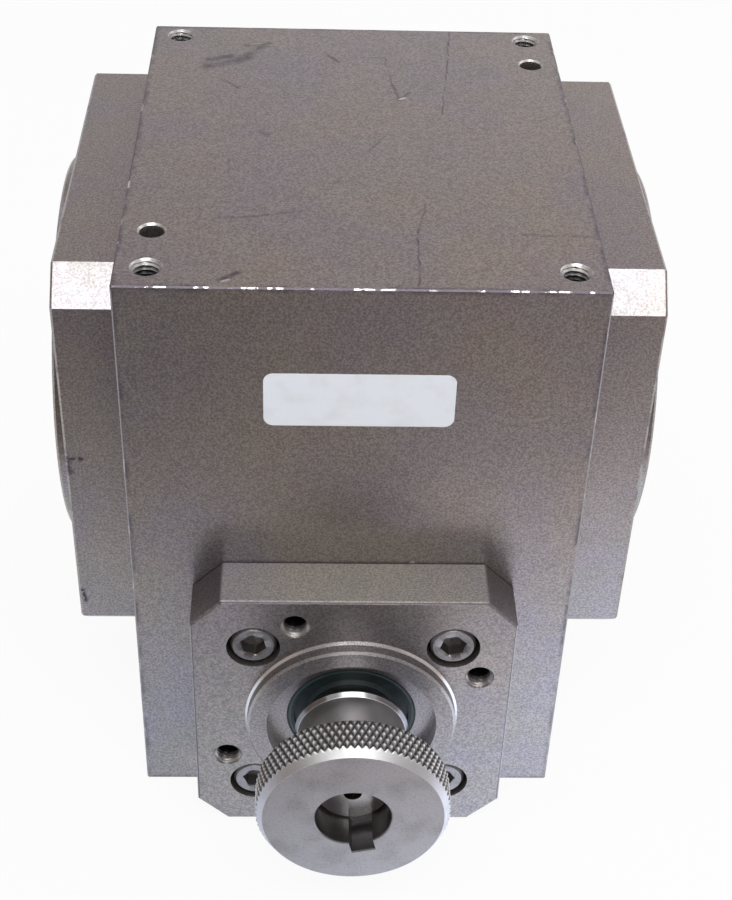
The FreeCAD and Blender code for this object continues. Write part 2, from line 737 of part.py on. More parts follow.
def set_screw_axis():
    """The set screw bears on the shaft a quarter turn from the key."""
    return Y_AXIS.cross(key_direction())


def make_input_hub():
    """Hub with a wide rim, a slim boss with a collar behind it, a keyed bore and a set screw hole."""
    bore = hub_bore_radius + fit_clearance
    collar_front = hub_rear_face + hub_collar_width
    collar_radius = hub_boss_radius + hub_collar_step
    corners = [(hub_rear_face, bore), (hub_rear_face, collar_radius), (collar_front, collar_radius)]
    corners += [(collar_front + hub_collar_step, hub_boss_radius), (hub_rim_back, hub_boss_radius)]
    corners += [(hub_rim_back, hub_rim_radius - edge_break), (hub_rim_back + edge_break, hub_rim_radius)]
    corners += [(hub_front_face - hub_rim_chamfer, hub_rim_radius)]
    corners += [(hub_front_face, hub_rim_radius - hub_rim_chamfer), (hub_front_face, bore)]
    hub = turned(corners, -Y_AXIS, worm_centre)
    hub = hub.cut(input_key_bar(hub_front_face, hub_length, fit_clearance))
    middle = worm_centre - Y_AXIS * set_screw_place
    return hub.cut(drilled(set_screw_radius + fit_clearance, middle, set_screw_axis(), hub_boss_radius))


def make_hub_set_screw():
    """Socket set screw that stands on the shaft."""
    axis = set_screw_axis()
    foot = worm_centre - Y_AXIS * set_screw_place + axis * (hub_bore_radius + fit_clearance)
    screw = drilled(set_screw_radius, foot, axis, set_screw_length)
    top = foot + axis * set_screw_length
    return screw.cut(hexagon_socket(set_screw_radius, set_screw_length / 2, top, -axis))


os.makedirs("parts", exist_ok=True)

output_bearing = TaperBearing(
    output_bearing_bore, output_bearing_section, output_bearing_width, output_bearing_cup_width,
    output_roller_diameter, output_roller_length, output_roller_count)
worm_bearing = TaperBearing(
    worm_journal_radius, worm_bearing_section, worm_bearing_width, worm_bearing_cup_width,
    worm_roller_diameter, worm_roller_length, worm_roller_count)

nodes = {
    "housing": make_housing(),
    "oil_plugs": make_oil_plugs(),
    "output_shaft": make_output_shaft(),
    "worm_gear": make_worm_gear(),
    "gear_bolts": make_gear_bolts(),
    "worm_shaft": make_worm_shaft(),
    "input_flange": make_input_flange(),
    "rear_cap": make_rear_cap(),
    "input_hub": make_input_hub(),
    "input_key": input_key_bar(input_key_front, input_key_length, 0),
    "hub_set_screw": make_hub_set_screw(),
}

for side, direction in (("left", -X_AXIS), ("right", X_AXIS)):
    seat = direction * output_bearing_seat
    face = direction * side_face
    nodes[side + "_output_cover"] = make_output_cover(direction)
    nodes[side + "_cover_shim"] = shim(
        cover_size, cover_chamfer, face, direction, gear_chamber_radius, cover_screw_offset)
    nodes[side + "_cover_screws"] = corner_screws(
        cover_screw_offset, ORIGIN, direction, cover_outer_face, side_face)
    nodes[side + "_output_seal"] = make_seal(
        output_pilot_face - seal_recess, output_seal_width, output_seal_radius, output_journal_radius,
        direction, ORIGIN)
    nodes[side + "_output_bearing_cup"] = output_bearing.cup(seat, direction)
    nodes[side + "_output_bearing_cone"] = output_bearing.cone(seat, direction)
    nodes[side + "_output_bearing_rollers"] = output_bearing.rollers(seat, direction)
    nodes[side + "_output_bearing_cage"] = output_bearing.cage(seat, direction)

nodes["input_seal"] = make_seal(
    input_seal_front, input_seal_width, input_seal_radius, worm_journal_radius, -Y_AXIS, worm_centre)
for end, direction, plate, outer in (
        ("front", -Y_AXIS, "input_flange", flange_outer_face), ("rear", Y_AXIS, "rear_cap", rear_cap_outer_face)):
    seat = worm_centre + direction * worm_bearing_seat
    face = worm_centre + direction * front_face
    nodes[plate + "_shim"] = shim(
        flange_size, flange_chamfer, face, direction, worm_bearing_outer, flange_screw_offset)
    nodes[plate + "_screws"] = corner_screws(flange_screw_offset, worm_centre, direction, outer, front_face)
    nodes[end + "_worm_bearing_cup"] = worm_bearing.cup(seat, direction)
    nodes[end + "_worm_bearing_cone"] = worm_bearing.cone(seat, direction)
    nodes[end + "_worm_bearing_rollers"] = worm_bearing.rollers(seat, direction)
    nodes[end + "_worm_bearing_cage"] = worm_bearing.cage(seat, direction)

for name, shape in nodes.items():
    shape.exportStep("parts/" + name + ".step")
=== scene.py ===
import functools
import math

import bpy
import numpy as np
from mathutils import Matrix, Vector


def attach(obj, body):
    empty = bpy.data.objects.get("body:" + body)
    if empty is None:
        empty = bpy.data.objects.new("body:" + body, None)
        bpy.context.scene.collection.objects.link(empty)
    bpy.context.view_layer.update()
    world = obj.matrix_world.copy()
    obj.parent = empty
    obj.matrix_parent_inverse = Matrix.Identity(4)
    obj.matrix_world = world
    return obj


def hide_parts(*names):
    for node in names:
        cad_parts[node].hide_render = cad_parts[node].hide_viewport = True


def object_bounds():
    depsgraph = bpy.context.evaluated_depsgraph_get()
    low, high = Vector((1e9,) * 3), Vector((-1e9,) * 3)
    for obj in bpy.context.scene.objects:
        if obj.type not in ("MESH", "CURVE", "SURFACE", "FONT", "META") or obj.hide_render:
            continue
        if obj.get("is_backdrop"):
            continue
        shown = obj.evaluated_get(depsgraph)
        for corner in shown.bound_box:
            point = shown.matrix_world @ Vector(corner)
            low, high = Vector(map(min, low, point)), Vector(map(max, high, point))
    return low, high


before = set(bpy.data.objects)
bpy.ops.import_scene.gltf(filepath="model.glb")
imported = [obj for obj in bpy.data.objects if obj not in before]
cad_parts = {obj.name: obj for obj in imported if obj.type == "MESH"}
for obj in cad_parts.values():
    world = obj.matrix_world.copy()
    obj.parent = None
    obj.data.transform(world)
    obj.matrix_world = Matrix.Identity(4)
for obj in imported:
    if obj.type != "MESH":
        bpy.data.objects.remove(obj)        # bodies, nodes, joints and record of the packed gearhead

# %% [markdown]
# # A worm gearhead for a servo motor
# The packed solids already have the true sizes, so this lesson only dresses them: it mixes their
# finishes, and makes new meshes where a solid is too plain. First it keeps the box that the solids
# fill, because no finish or added piece may grow past it. Blender counts in metres and a maker in
# millimetres, so one factor joins the two.

MM = 0.001
cad_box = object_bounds()
print("size in mm:", np.round(np.subtract(cad_box[1], cad_box[0]) / MM, 2))

# %% [markdown]
# ## Camera
# The gearhead is seen from in front and above, from about 40 cm. A camera could be turned by eye
# until the picture looks right, but the straight edges of a block fix the eye point exactly, so the
# camera stands where the block's corners fall in place. Its right, its up and the way back from its
# lens are the columns of its matrix.

# %% Stand the camera in front and above
CAMERA_SPOT = Vector((-10.15, -323.1, 224.65)) * MM
CAMERA_RIGHT = Vector((0.99935, -0.02144, 0.02900))
CAMERA_UP = Vector((-0.00942, 0.62097, 0.78377))
LENS = 66.87

camera = bpy.data.objects.new("camera", bpy.data.cameras.new("camera"))
camera.data.lens = LENS
bpy.context.collection.objects.link(camera)
directions = Matrix((CAMERA_RIGHT, CAMERA_UP, CAMERA_RIGHT.cross(CAMERA_UP))).transposed()
camera.matrix_world = Matrix.Translation(CAMERA_SPOT) @ directions.to_4x4()
bpy.context.scene.camera = camera
bpy.context.scene.view_settings.view_transform = "Standard"
print("camera stands", round(CAMERA_SPOT.length, 3), "m from the output shaft")

# %% [markdown]
# ## Values on wires
# A finish is arithmetic on the place of a point: how far it lies from an edge, how much noise it
# gets. Nodes could be laid out and joined by hand, but a formula is easier to read and to change.
# So a small class wraps a socket: a sum or a product of two wires adds a Math node, colours and
# vectors go through nodes of their own, and one method makes every kind of node.

# %% Wrap a socket so that formulas make nodes
class Wire:
    """A value on its way through a node tree."""

    def __init__(self, tree, socket):
        self.tree = tree
        self.socket = socket

    def node(self, kind, settings, sockets, out=0):
        """Add a node: its settings first, then a value or a link for each socket."""
        made = self.tree.nodes.new(kind)
        for key, value in settings.items():
            setattr(made, key, value)
        for key, value in sockets.items():
            if isinstance(value, Wire):
                self.tree.links.new(value.socket, made.inputs[key])
            else:
                made.inputs[key].default_value = value
        return Wire(self.tree, made.outputs[out])

    def math(self, operation, first, second):
        """A sum, difference, product or maximum of two values."""
        return self.node("ShaderNodeMath", {"operation": operation}, {0: first, 1: second})

    def __add__(self, other):
        return self.math("ADD", self, other)

    def __sub__(self, other):
        return self.math("SUBTRACT", self, other)

    def __rsub__(self, other):
        return self.math("SUBTRACT", other, self)

    def __mul__(self, other):
        return self.math("MULTIPLY", self, other)

    __radd__ = __add__
    __rmul__ = __mul__

    def most(self, other):
        """The larger of two values, which lays one mark over another."""
        return self.math("MAXIMUM", self, other)

    def ramp(self, low, high):
        """0 at the first value and 1 at the second, with a soft step between them."""
        return self.node("ShaderNodeMapRange", {"interpolation_type": "SMOOTHSTEP"},
                         {"Value": self, "From Min": low, "From Max": high})

    def band(self, low, high, soft):
        """1 between two values and 0 outside them; each end fades over a little way to both sides."""
        return self.ramp(low - soft, low + soft) * self.ramp(high + soft, high - soft)

    def limited(self):
        """The value, kept between 0 and 1."""
        return self.node("ShaderNodeClamp", {}, {"Value": self})

    def vector(self, operation, other, out="Vector"):
        """Vector arithmetic on two vectors, whose result may be a number."""
        return self.node("ShaderNodeVectorMath", {"operation": operation}, {0: self, 1: other}, out)

    def times(self, factor):
        """A vector times a number, or a fixed vector times this number."""
        vector, number = (factor, self) if isinstance(factor, tuple) else (self, factor)
        return self.node("ShaderNodeVectorMath", {"operation": "SCALE"}, {0: vector, "Scale": number})

    def part(self, letter):
        """One of a vector's three numbers."""
        return self.node("ShaderNodeSeparateXYZ", {}, {0: self}, letter)

    def noise(self, scale, detail=2.0, out="Fac"):
        """Cloudy noise with so many cells in a millimetre."""
        return self.node("ShaderNodeTexNoise", {}, {"Vector": self, "Scale": scale, "Detail": detail},
                         out)

    def blend(self, low, high):
        """Colour that is the first where this value is 0 and the second where it is 1."""
        return self.node("ShaderNodeMix", {"data_type": "RGBA"}, {0: self, 6: low, 7: high}, 2)

    def tinted(self, tint):
        """A colour times another colour."""
        return self.node("ShaderNodeMix", {"data_type": "RGBA", "blend_type": "MULTIPLY"},
                         {0: 1.0, 6: self, 7: tint}, 2)

    def bump(self, depth):
        """Normal of a surface that this value raises by a depth in millimetres."""
        return self.node("ShaderNodeBump", {}, {"Height": self, "Distance": depth * MM})


def strongest(wires):
    """The largest of several values."""
    return functools.reduce(Wire.most, wires)


print("a wire knows", len([name for name in vars(Wire) if not name.startswith("__")]), "named steps")

# %% [markdown]
# ## Finishes
# A finish is a material. Its pattern could follow Generated coordinates, but those stretch with the
# box of a piece. Object coordinates are the place of a point on its own piece and turn with it, so
# every finish starts there, in millimetres: a width in a formula is then a real width.

# %% Start, fill and give a finish
def start_finish(name):
    """A new material, and the place of a point on its piece in millimetres."""
    material = bpy.data.materials.new(name)
    material.use_nodes = True
    place = Wire(material.node_tree, None).node("ShaderNodeTexCoord", {}, {}, "Object")
    return material, place.times(1 / MM)


def fill(material, sockets):
    """Set or link the sockets of a material's main shader."""
    tree = material.node_tree
    shader = tree.nodes["Principled BSDF"]
    for key, value in sockets.items():
        if isinstance(value, Wire):
            tree.links.new(value.socket, shader.inputs[key])
        else:
            shader.inputs[key].default_value = value
    print("finish", material.name, "with", len(tree.nodes), "nodes")


def dress(finish, *nodes):
    """Give CAD nodes a finish."""
    for node in nodes:
        for slot in bpy.data.objects[node].material_slots:
            slot.material = finish


slots = [len(bpy.data.objects[node].material_slots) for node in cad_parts]
print("material slots on the solids:", sum(slots))

# %% [markdown]
# ## White paper
# The object stands on white paper. A brighter lamp would whiten the paper, but it would burn out
# the pale edges of the object too. Here the paper's own colour does it: rays from the camera and
# from mirrors see it as nearly white, and the small share that is left to the lamps keeps the
# object's soft shadow on it. The sky behind it is a little under white, which hides the line where
# both meet.

# %% Lay the paper floor under a white sky
WHITE = (1, 1, 1, 1)
PAPER = (0.97, 0.97, 0.97, 1)
PAPER_SHARE = 0.92
PAPER_REACH = 4.0
SKY_LIGHT = 0.55
HORIZON = 0.97
FLOOR_HEIGHT = cad_box[0][2]


def rays_choose(tree, scattering, showing, glow, share, output):
    """Join a mix of two shaders to an output: camera, mirror and glass rays see the glowing one."""
    scattered = Wire(tree, tree.nodes[scattering].outputs[0])
    shown = scattered.node(showing, {}, {"Color": WHITE, "Strength": glow})
    direct = strongest([shown.node("ShaderNodeLightPath", {}, {}, "Is " + kind + " Ray")
                        for kind in ("Camera", "Glossy", "Transmission")])
    mixed = shown.node("ShaderNodeMixShader", {}, {0: direct * share, 1: scattered, 2: shown})
    tree.links.new(mixed.socket, tree.nodes[output].inputs[0])


def sheet(name, corners, finish):
    """Flat four-cornered sheet of the studio, which isn't part of the object."""
    mesh = bpy.data.meshes.new(name)
    mesh.from_pydata(corners, [], [(0, 1, 2, 3)])
    mesh.materials.append(finish)
    thing = bpy.data.objects.new(name, mesh)
    bpy.context.collection.objects.link(thing)
    thing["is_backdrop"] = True
    return thing


def level(left, right, front, back, height):
    """Corners of a level sheet, the front edge first."""
    return [(left, front, height), (right, front, height), (right, back, height), (left, back, height)]


paper = bpy.data.materials.new("paper")
paper.use_nodes = True
fill(paper, {"Base Color": PAPER, "Roughness": 1.0, "Specular IOR Level": 0.0})
rays_choose(paper.node_tree, "Principled BSDF", "ShaderNodeEmission", 1.0, PAPER_SHARE, "Material Output")
sheet("floor", level(-PAPER_REACH, PAPER_REACH, -PAPER_REACH, PAPER_REACH, FLOOR_HEIGHT), paper)

world = bpy.data.worlds.new("studio")
bpy.context.scene.world = world
world.use_nodes = True
sky = world.node_tree.nodes["Background"]
sky.inputs["Color"].default_value = WHITE
sky.inputs["Strength"].default_value = SKY_LIGHT
rays_choose(world.node_tree, "Background", "ShaderNodeBackground", HORIZON, 1.0, "World Output")
print("floor at", round(FLOOR_HEIGHT / MM, 1), "mm")

# %% [markdown]
# ## Lamps
# A wide soft box hangs over the camera, so the faces that look half up mirror it and turn white, as
# the corners of the covers do. A weaker window stands to the right and behind. A point lamp would
# be simpler, but its mirror image on metal is a hard dot, while a sheet of light gives a band with
# soft ends.

# %% Hang the soft boxes
def soft_box(name, toward, distance, width, height, watts):
    """Rectangular lamp at a distance in metres from the origin, turned to face it."""
    lamp = bpy.data.lights.new(name, "AREA")
    lamp.shape = "RECTANGLE"
    lamp.size = width
    lamp.size_y = height
    lamp.energy = watts
    thing = bpy.data.objects.new(name, lamp)
    bpy.context.collection.objects.link(thing)
    away = Vector(toward).normalized()
    thing.location = away * distance
    thing.rotation_euler = away.to_track_quat("Z", "Y").to_euler()
    print(name, "stands", round(math.degrees(math.asin(away.z))), "degrees up")


soft_box("key_lamp", (0.03, -0.53, 0.84), distance=0.9, width=0.62, height=0.26, watts=2.9)
soft_box("window_lamp", (0.9, 0.25, 0.45), distance=1.3, width=0.9, height=0.9, watts=3.0)

# %% [markdown]
# ## Cards
# Bright metal looks flat in a room that is white all round. Photographers stand cards beside it,
# outside the picture, so that its faces shade from light to dark. An image of a room on the world
# would do the same, but a card can be placed and shaded to the millimetre. Only mirror rays see the
# cards here, so they neither light the object nor show in the picture.

# %% Make a card that only mirrors see
COOL_PAPER = (0.91, 0.99, 1.16, 1)
WARM_ROOM = (1.17, 0.96, 0.89, 1)
BLACK = (0, 0, 0, 1)
CARD_LIFT = 0.0005
CARD_FOOT = FLOOR_HEIGHT + CARD_LIFT


def card(name, corners, shade):
    """Sheet that only mirror rays see; a function of the place gives its brightness and its coolness."""
    finish, place = start_finish(name)
    tone, cool = shade(place)
    fill(finish, {"Base Color": BLACK, "Specular IOR Level": 0.0, "Emission Strength": 1.0,
                  "Emission Color": cool.blend(WARM_ROOM, COOL_PAPER).times(tone)})
    thing = sheet(name, corners, finish)
    thing.visible_camera = False
    thing.visible_diffuse = False
    thing.visible_shadow = False


def upright(start, end, height):
    """Corners of a card that stands on the floor from one place to another."""
    return [(*start, CARD_FOOT), (*end, CARD_FOOT), (*end, height), (*start, height)]


print("cards start", round(CARD_LIFT / MM, 1), "mm over the paper")

# %% [markdown]
# A sheet on the floor fades from cool bright paper near the object to a warm dim room, a curtain
# keeps the room dim behind the camera, and grey sheets stand behind and at both sides. The room is
# lighter to the right, as from a window there. Each shade is a formula on the card's own place.

# %% Stand the cards round the object
def front_shade(place):
    """A dim room far in front and bright paper near the object, both lighter to the right."""
    near = place.part("Y").ramp(-215.0, -75.0)
    right = place.part("X").ramp(-60.0, 80.0)
    room_light = 0.165 + right * 0.155
    paper_light = 0.70 + right * 0.60
    return room_light + near * paper_light, near


def room_shade(place):
    """Dim everywhere, a little lighter to the right."""
    right = place.part("X").ramp(-600.0, 600.0)
    return 0.08 + right * 0.06, right * 0.2


def back_shade(place):
    """Brighter low down and to the right."""
    low = place.part("Z").ramp(650.0, 300.0)
    right = place.part("X").ramp(-300.0, 300.0)
    return 0.34 + low * 0.36 + right * 0.13, low * 0.7


def side_shade(place):
    """Mid grey, lighter to the right and towards the back."""
    right = place.part("X").ramp(-600.0, 600.0)
    back = place.part("Y").ramp(-300.0, 700.0)
    return 0.24 + right * 0.14 + back * 0.2, right * 0.4


CARD_SIDE, CARD_FRONT, CARD_BACK = 1.2, -1.2, 0.8
SHEET_END = -0.058
CURTAIN_HEIGHT, BACK_HEIGHT, SIDE_HEIGHT = 1.3, 1.2, 1.0
front_left, front_right = (-CARD_SIDE, CARD_FRONT), (CARD_SIDE, CARD_FRONT)
back_left, back_right = (-CARD_SIDE, CARD_BACK), (CARD_SIDE, CARD_BACK)
card("front_sheet", level(-CARD_SIDE, CARD_SIDE, CARD_FRONT, SHEET_END, CARD_FOOT), front_shade)
card("front_curtain", upright(front_left, front_right, CURTAIN_HEIGHT), room_shade)
card("back_sheet", upright(back_left, back_right, BACK_HEIGHT), back_shade)
card("left_sheet", upright(back_left, front_left, SIDE_HEIGHT), side_shade)
card("right_sheet", upright(front_right, back_right, SIDE_HEIGHT), side_shade)

# %% [markdown]
# ## Wear as distances
# Handling rubs the edges of a block bright and leaves scratches on its faces. Such marks could be
# painted on an image, but an image has to be unwrapped and turns blurred close up. Both are
# distances: to the edge of a box, or to the line between two points. Turned parts need one more,
# the distance from the axis that they were turned on.

# %% Measure edges, scratches and turned rings
def box_edges(place, centre, half, width):
    """Nearness to the edges of a box: 1 on an edge, 0 farther in than a width.

    Each axis gives the nearness to its own pair of faces, and an edge is near to two of them at once.
    """
    offset = place.vector("SUBTRACT", centre).vector("ABSOLUTE", centre)
    depth = offset.vector("SUBTRACT", half).vector("ABSOLUTE", half)
    x, y, z = [depth.part(letter).ramp(width, 0.0) for letter in "XYZ"]
    return strongest([x * y, y * z, x * z])


def scratch(place, start, end, width):
    """Nearness to a straight mark: how close a point lies to the line between two points."""
    run = np.subtract(end, start)
    offset = place.vector("SUBTRACT", start)
    share = offset.vector("DOT_PRODUCT", tuple(run / run.dot(run)), "Value").limited()
    return offset.vector("DISTANCE", share.times(tuple(run)), "Value").ramp(width, 0.0)


def marks_of(place, marks):
    """The strongest of several scratches, each thinned by its own share."""
    return strongest([scratch(place, start, end, width) * share for start, end, width, share in marks])


def lathe_place(place, axis, centre):
    """Place along an axis and away from it, the same all round the axis."""
    offset = place.vector("SUBTRACT", centre)
    along = offset.vector("DOT_PRODUCT", axis, "Value")
    return along, offset.vector("SUBTRACT", along.times(axis)).vector("LENGTH", axis, "Value")


WORM_AXIS = (0.0, 0.0, -50.8)
FORWARD = (0.0, -1.0, 0.0)
print("the worm turns", -WORM_AXIS[2], "mm below the output shaft")

# %% [markdown]
# ## Anodised skin
# The block, covers, flange and cap are aluminium with a hard anodised skin: a warm grey with a fine
# grain and a soft metal shine, drifting to plum and moss over a few centimetres. One flat colour
# would look like plastic. Three noises of different sizes give drift, mottle and grain, and the
# grain also roughens and raises the surface. Bare metal shows where the skin is worn, and dark
# scuffs lie in it. On the flange the same pale and dark colours also carry a painted highlight and
# painted shade.

# %% Mix the anodised skin
TAUPE = (0.345, 0.312, 0.286, 1)
PLUM_GREY = (0.320, 0.296, 0.312, 1)
MOSS_GREY = (0.318, 0.308, 0.282, 1)
GRAIN_DARK = (0.70, 0.70, 0.70, 1)
GRAIN_LIGHT = (1.28, 1.28, 1.28, 1)
# Pale bare metal and dark scuffs; on the flange these colours also carry a painted highlight and painted
# shade.
BARE_METAL_AND_HIGHLIGHT = (0.86, 0.85, 0.83, 1)
SCUFF_AND_SHADE = (0.085, 0.070, 0.098, 1)
DRIFT_CELLS, MOTTLE_CELLS, GRAIN_CELLS = 0.035, 0.16, 2.4
SKIN_METAL, MATT_LOSS = 0.85, 0.50
SKIN_ROUGHNESS = 0.33
SKIN_RELIEF = 0.004


def anodised(name, bright, scuffs, matt=None):
    """Anodised skin; functions of the place give its worn bright spots, dark scuffs, painted highlight and
    shade, and matt sides.
    """
    finish, place = start_finish(name)
    drift = place.noise(DRIFT_CELLS).ramp(0.35, 0.65)
    mottle = place.noise(MOTTLE_CELLS, 3.0).ramp(0.40, 0.72)
    grain = place.noise(GRAIN_CELLS, 3.0)
    skin = (mottle * 0.6).blend(drift.blend(TAUPE, PLUM_GREY), MOSS_GREY)
    skin = skin.tinted(grain.ramp(0.28, 0.72).blend(GRAIN_DARK, GRAIN_LIGHT))
    # The dark share holds scuffs and the bright share wear; on the flange they also hold painted shade and
    # a painted highlight.
    dark = scuffs(place)
    worn = bright(place)
    colour = worn.blend(dark.blend(skin, SCUFF_AND_SHADE), BARE_METAL_AND_HIGHLIGHT)
    rough = SKIN_ROUGHNESS + (grain - 0.5) * 0.1 + (mottle - 0.5) * 0.05 - worn * 0.12 + dark * 0.15
    height = grain - dark * 1.5 - worn * 0.5
    shine = SKIN_METAL - matt(place) * MATT_LOSS if matt else SKIN_METAL
    fill(finish, {"Base Color": colour, "Metallic": shine, "Roughness": rough,
                  "Normal": height.bump(SKIN_RELIEF)})
    return finish


print("grain of the skin:", round(1 / GRAIN_CELLS, 2), "mm")

# %% [markdown]
# ## Marks on the block
# The top of the block was slid over benches, which left a few long dark lines, short scuffs and
# purple smudges, and its front upper edge is rubbed to bare metal in dashes. Random scratches would
# be quicker to make, but these lie where the real ones do. Each is a line from x, y to x, y on the
# top, with a width and a strength.

# %% Place the block's marks
BLOCK_LOW = (-47.625, -57.8, -85.8)
BLOCK_HIGH = (47.625, 57.8, 53.15)
FRONT, TOP = BLOCK_LOW[1], BLOCK_HIGH[2]


def on_top(*marks):
    """Marks on the top of the block."""
    return [((x0, y0, TOP), (x1, y1, TOP), width, share) for x0, y0, x1, y1, width, share in marks]


top_scuffs = on_top(
    (23.2, 57.7, 21.0, 30.8, 0.34, 0.80), (21.0, 30.8, 18.9, 14.0, 0.34, 0.80),
    (-0.1, 42.1, 7.1, 42.4, 0.45, 0.45), (7.1, 42.4, 8.1, 28.8, 0.5, 0.45),
    (8.1, 28.8, 9.9, 20.4, 0.7, 0.6), (9.9, 20.4, 12.1, 24.3, 0.9, 0.5),
    (-6.6, 43.5, -3.7, 39.5, 0.9, 0.6), (-33.9, 35.9, -25.5, 41.0, 2.6, 0.75),
    (-34.1, 39.9, -28.8, 41.7, 1.8, 0.65), (-25.4, 47.7, -19.7, 49.1, 1.3, 0.5),
    (-26.0, 41.5, -21.5, 47.5, 1.8, 0.5), (-30.0, 28.9, -26.7, 25.6, 0.7, 0.6),
    (-21.3, 4.7, -19.6, 2.7, 1.2, 0.55), (1.8, -4.2, 5.9, 3.3, 0.6, 0.35),
    (-5.2, -18.2, -3.9, -15.3, 0.6, 0.35), (-27.5, -8.5, -26.9, -16.3, 0.5, 0.4),
    (-29.4, -32.5, -20.3, -31.3, 0.9, 0.4), (-20.3, -31.3, -12.0, -29.0, 1.0, 0.45),
    (13.5, -25.4, 11.2, -39.0, 0.45, 0.65), (11.2, -39.0, 10.9, -56.7, 0.45, 0.7),
    (32.1, -37.3, 47.5, -37.6, 0.8, 0.4), (-33.0, -22.8, -31.3, -45.2, 0.4, 0.35),
    (-27.0, -55.0, -23.9, -52.5, 1.3, 0.9))
chips = on_top(
    (9.9, 20.9, 11.0, 21.6, 0.55, 0.9), (-47.5, -18.0, -47.4, -20.5, 0.5, 0.9),
    (-24.6, 48.2, -22.0, 48.7, 0.4, 0.4), (-26.6, -55.6, -25.4, -55.0, 0.5, 0.7))
chips.append(((12.1, FRONT, -15.9), (12.7, FRONT, -15.9), 0.4, 0.9))
DASH_WIDTH, DASH_SHARE = 0.44, 0.9
front_dashes = [((left, FRONT, TOP), (right, FRONT, TOP), DASH_WIDTH, DASH_SHARE) for left, right in (
    (-47.6, -46.6), (-40.9, -37.2), (-31.8, -29.1), (-25.2, -19.8), (-17.9, -15.1), (-1.6, 0.9),
    (21.4, 22.9), (27.8, 31.3), (33.9, 39.0), (43.2, 43.9))]
scuffed = sum(math.dist(start, end) for start, end, _, _ in top_scuffs)
print(len(top_scuffs), "scuffs,", round(scuffed), "mm long in all")

# %% [markdown]
# ## Skin of the block
# The marks now go over the skin. A hand that draws a line shakes, so a slow noise shifts the place
# before the scuffs are measured. All edges keep a thin dark rim and a wider band in patches. Bare
# metal shows in the front's dashes, in flecks, as a pale line down each upright corner, and in the
# mouths of the holes, where the drill cut through the skin.

# %% Dress the block
BLOCK_MIDDLE = tuple(np.add(BLOCK_LOW, BLOCK_HIGH) / 2)
BLOCK_HALF = tuple(np.subtract(BLOCK_HIGH, BLOCK_LOW) / 2)
HAND_SHAKE = 1.6
TAP_X, TAP_Y, TAP_MOUTH = (-41.275, 41.275), (-50.9, 52.6), 3.25
DOWELS, DOWEL_MOUTH = ((-41.275, -37.4), (41.275, 39.8)), 2.9
MOUTH_WEAR = 0.08
top_taps = [(x, y) for x in TAP_X for y in TAP_Y]
top_holes = [(x, y, TAP_MOUTH) for x, y in top_taps] + [(x, y, DOWEL_MOUTH) for x, y in DOWELS]


def hole_rims(place):
    """Nearness to the mouths of the top's holes."""
    flat = place.vector("MULTIPLY", (1, 1, 0))
    rims = [flat.vector("DISTANCE", (x, y, 0), "Value").ramp(radius + MOUTH_WEAR, radius)
            for x, y, radius in top_holes]
    return strongest(rims) * place.part("Z").ramp(TOP - 1.2, TOP - 0.7)


def block_scuffs(place):
    """Dark marks: shaken scuffs and patchy bands along the edges, and a thin rim on every edge."""
    shake = place.noise(0.22, 2.0, "Color").vector("SUBTRACT", (0.5, 0.5, 0.5)).times(HAND_SHAKE)
    lines = marks_of(place.vector("ADD", shake), top_scuffs)
    band = box_edges(place, BLOCK_MIDDLE, BLOCK_HALF, 1.6) * place.noise(0.13).ramp(0.42, 0.56) * 0.75
    patchy = 0.55 + place.noise(0.3, 1.0).ramp(0.40, 0.58) * 0.45
    rim = box_edges(place, BLOCK_MIDDLE, BLOCK_HALF, 0.42).ramp(0.0, 0.3) * 0.85
    return (lines.most(band) * patchy).most(rim)


def block_bright(place):
    """Bare metal: edge flecks, upright corners, the front edge's dashes, chips and hole mouths."""
    edge = box_edges(place, BLOCK_MIDDLE, BLOCK_HALF, 0.5)
    flecks = edge * place.noise(0.25, 3.0).ramp(0.59, 0.65) * 0.8
    corners = edge * place.part("Z").ramp(TOP - 0.5, TOP - 1.5) * 0.45
    broken = 0.4 + place.noise(0.9).ramp(0.40, 0.55) * 0.6
    dashes = (marks_of(place, front_dashes) * broken).ramp(0.15, 0.5)
    return strongest([flecks, corners, dashes, marks_of(place, chips), hole_rims(place) * 0.3])


dress(anodised("anodised_block", block_bright, block_scuffs), "housing")

# %% [markdown]
# ## Covers and cap
# The bolted-on plates share the block's skin. Their edges were broken on a mill and rubbed less, so
# a thin pale line with gaps and a few dark spots are enough. The left cover was knocked: dark chips
# lie along its outer front edge. One function makes all the plates, and what only one plate has is
# handed to it.

# %% Dress the covers and the cap
COVER_HALF = (6.7125, 48.25, 48.25)
COVER_SIDE = 54.3375
LEFT_MIDDLE, RIGHT_MIDDLE = (-COVER_SIDE, 0.0, 0.0), (COVER_SIDE, 0.0, 0.0)
CAP_MIDDLE, CAP_HALF = (0.0, 62.55, -50.8), (34.65, 4.75, 34.65)
left_chips = [((x0, -COVER_HALF[1], z0), (x1, -COVER_HALF[1], z1), width, share)
              for x0, z0, x1, z1, width, share in (
                  (-60.9, 3.9, -57.6, 3.9, 0.7, 1.0), (-57.8, 3.9, -57.7, 3.9, 1.1, 1.0),
                  (-61.2, 5.3, -60.2, 0.4, 1.6, 0.8), (-60.2, -33.5, -59.6, -36.8, 0.8, 1.0),
                  (-60.9, 50.0, -60.9, 47.0, 0.8, 0.8))]


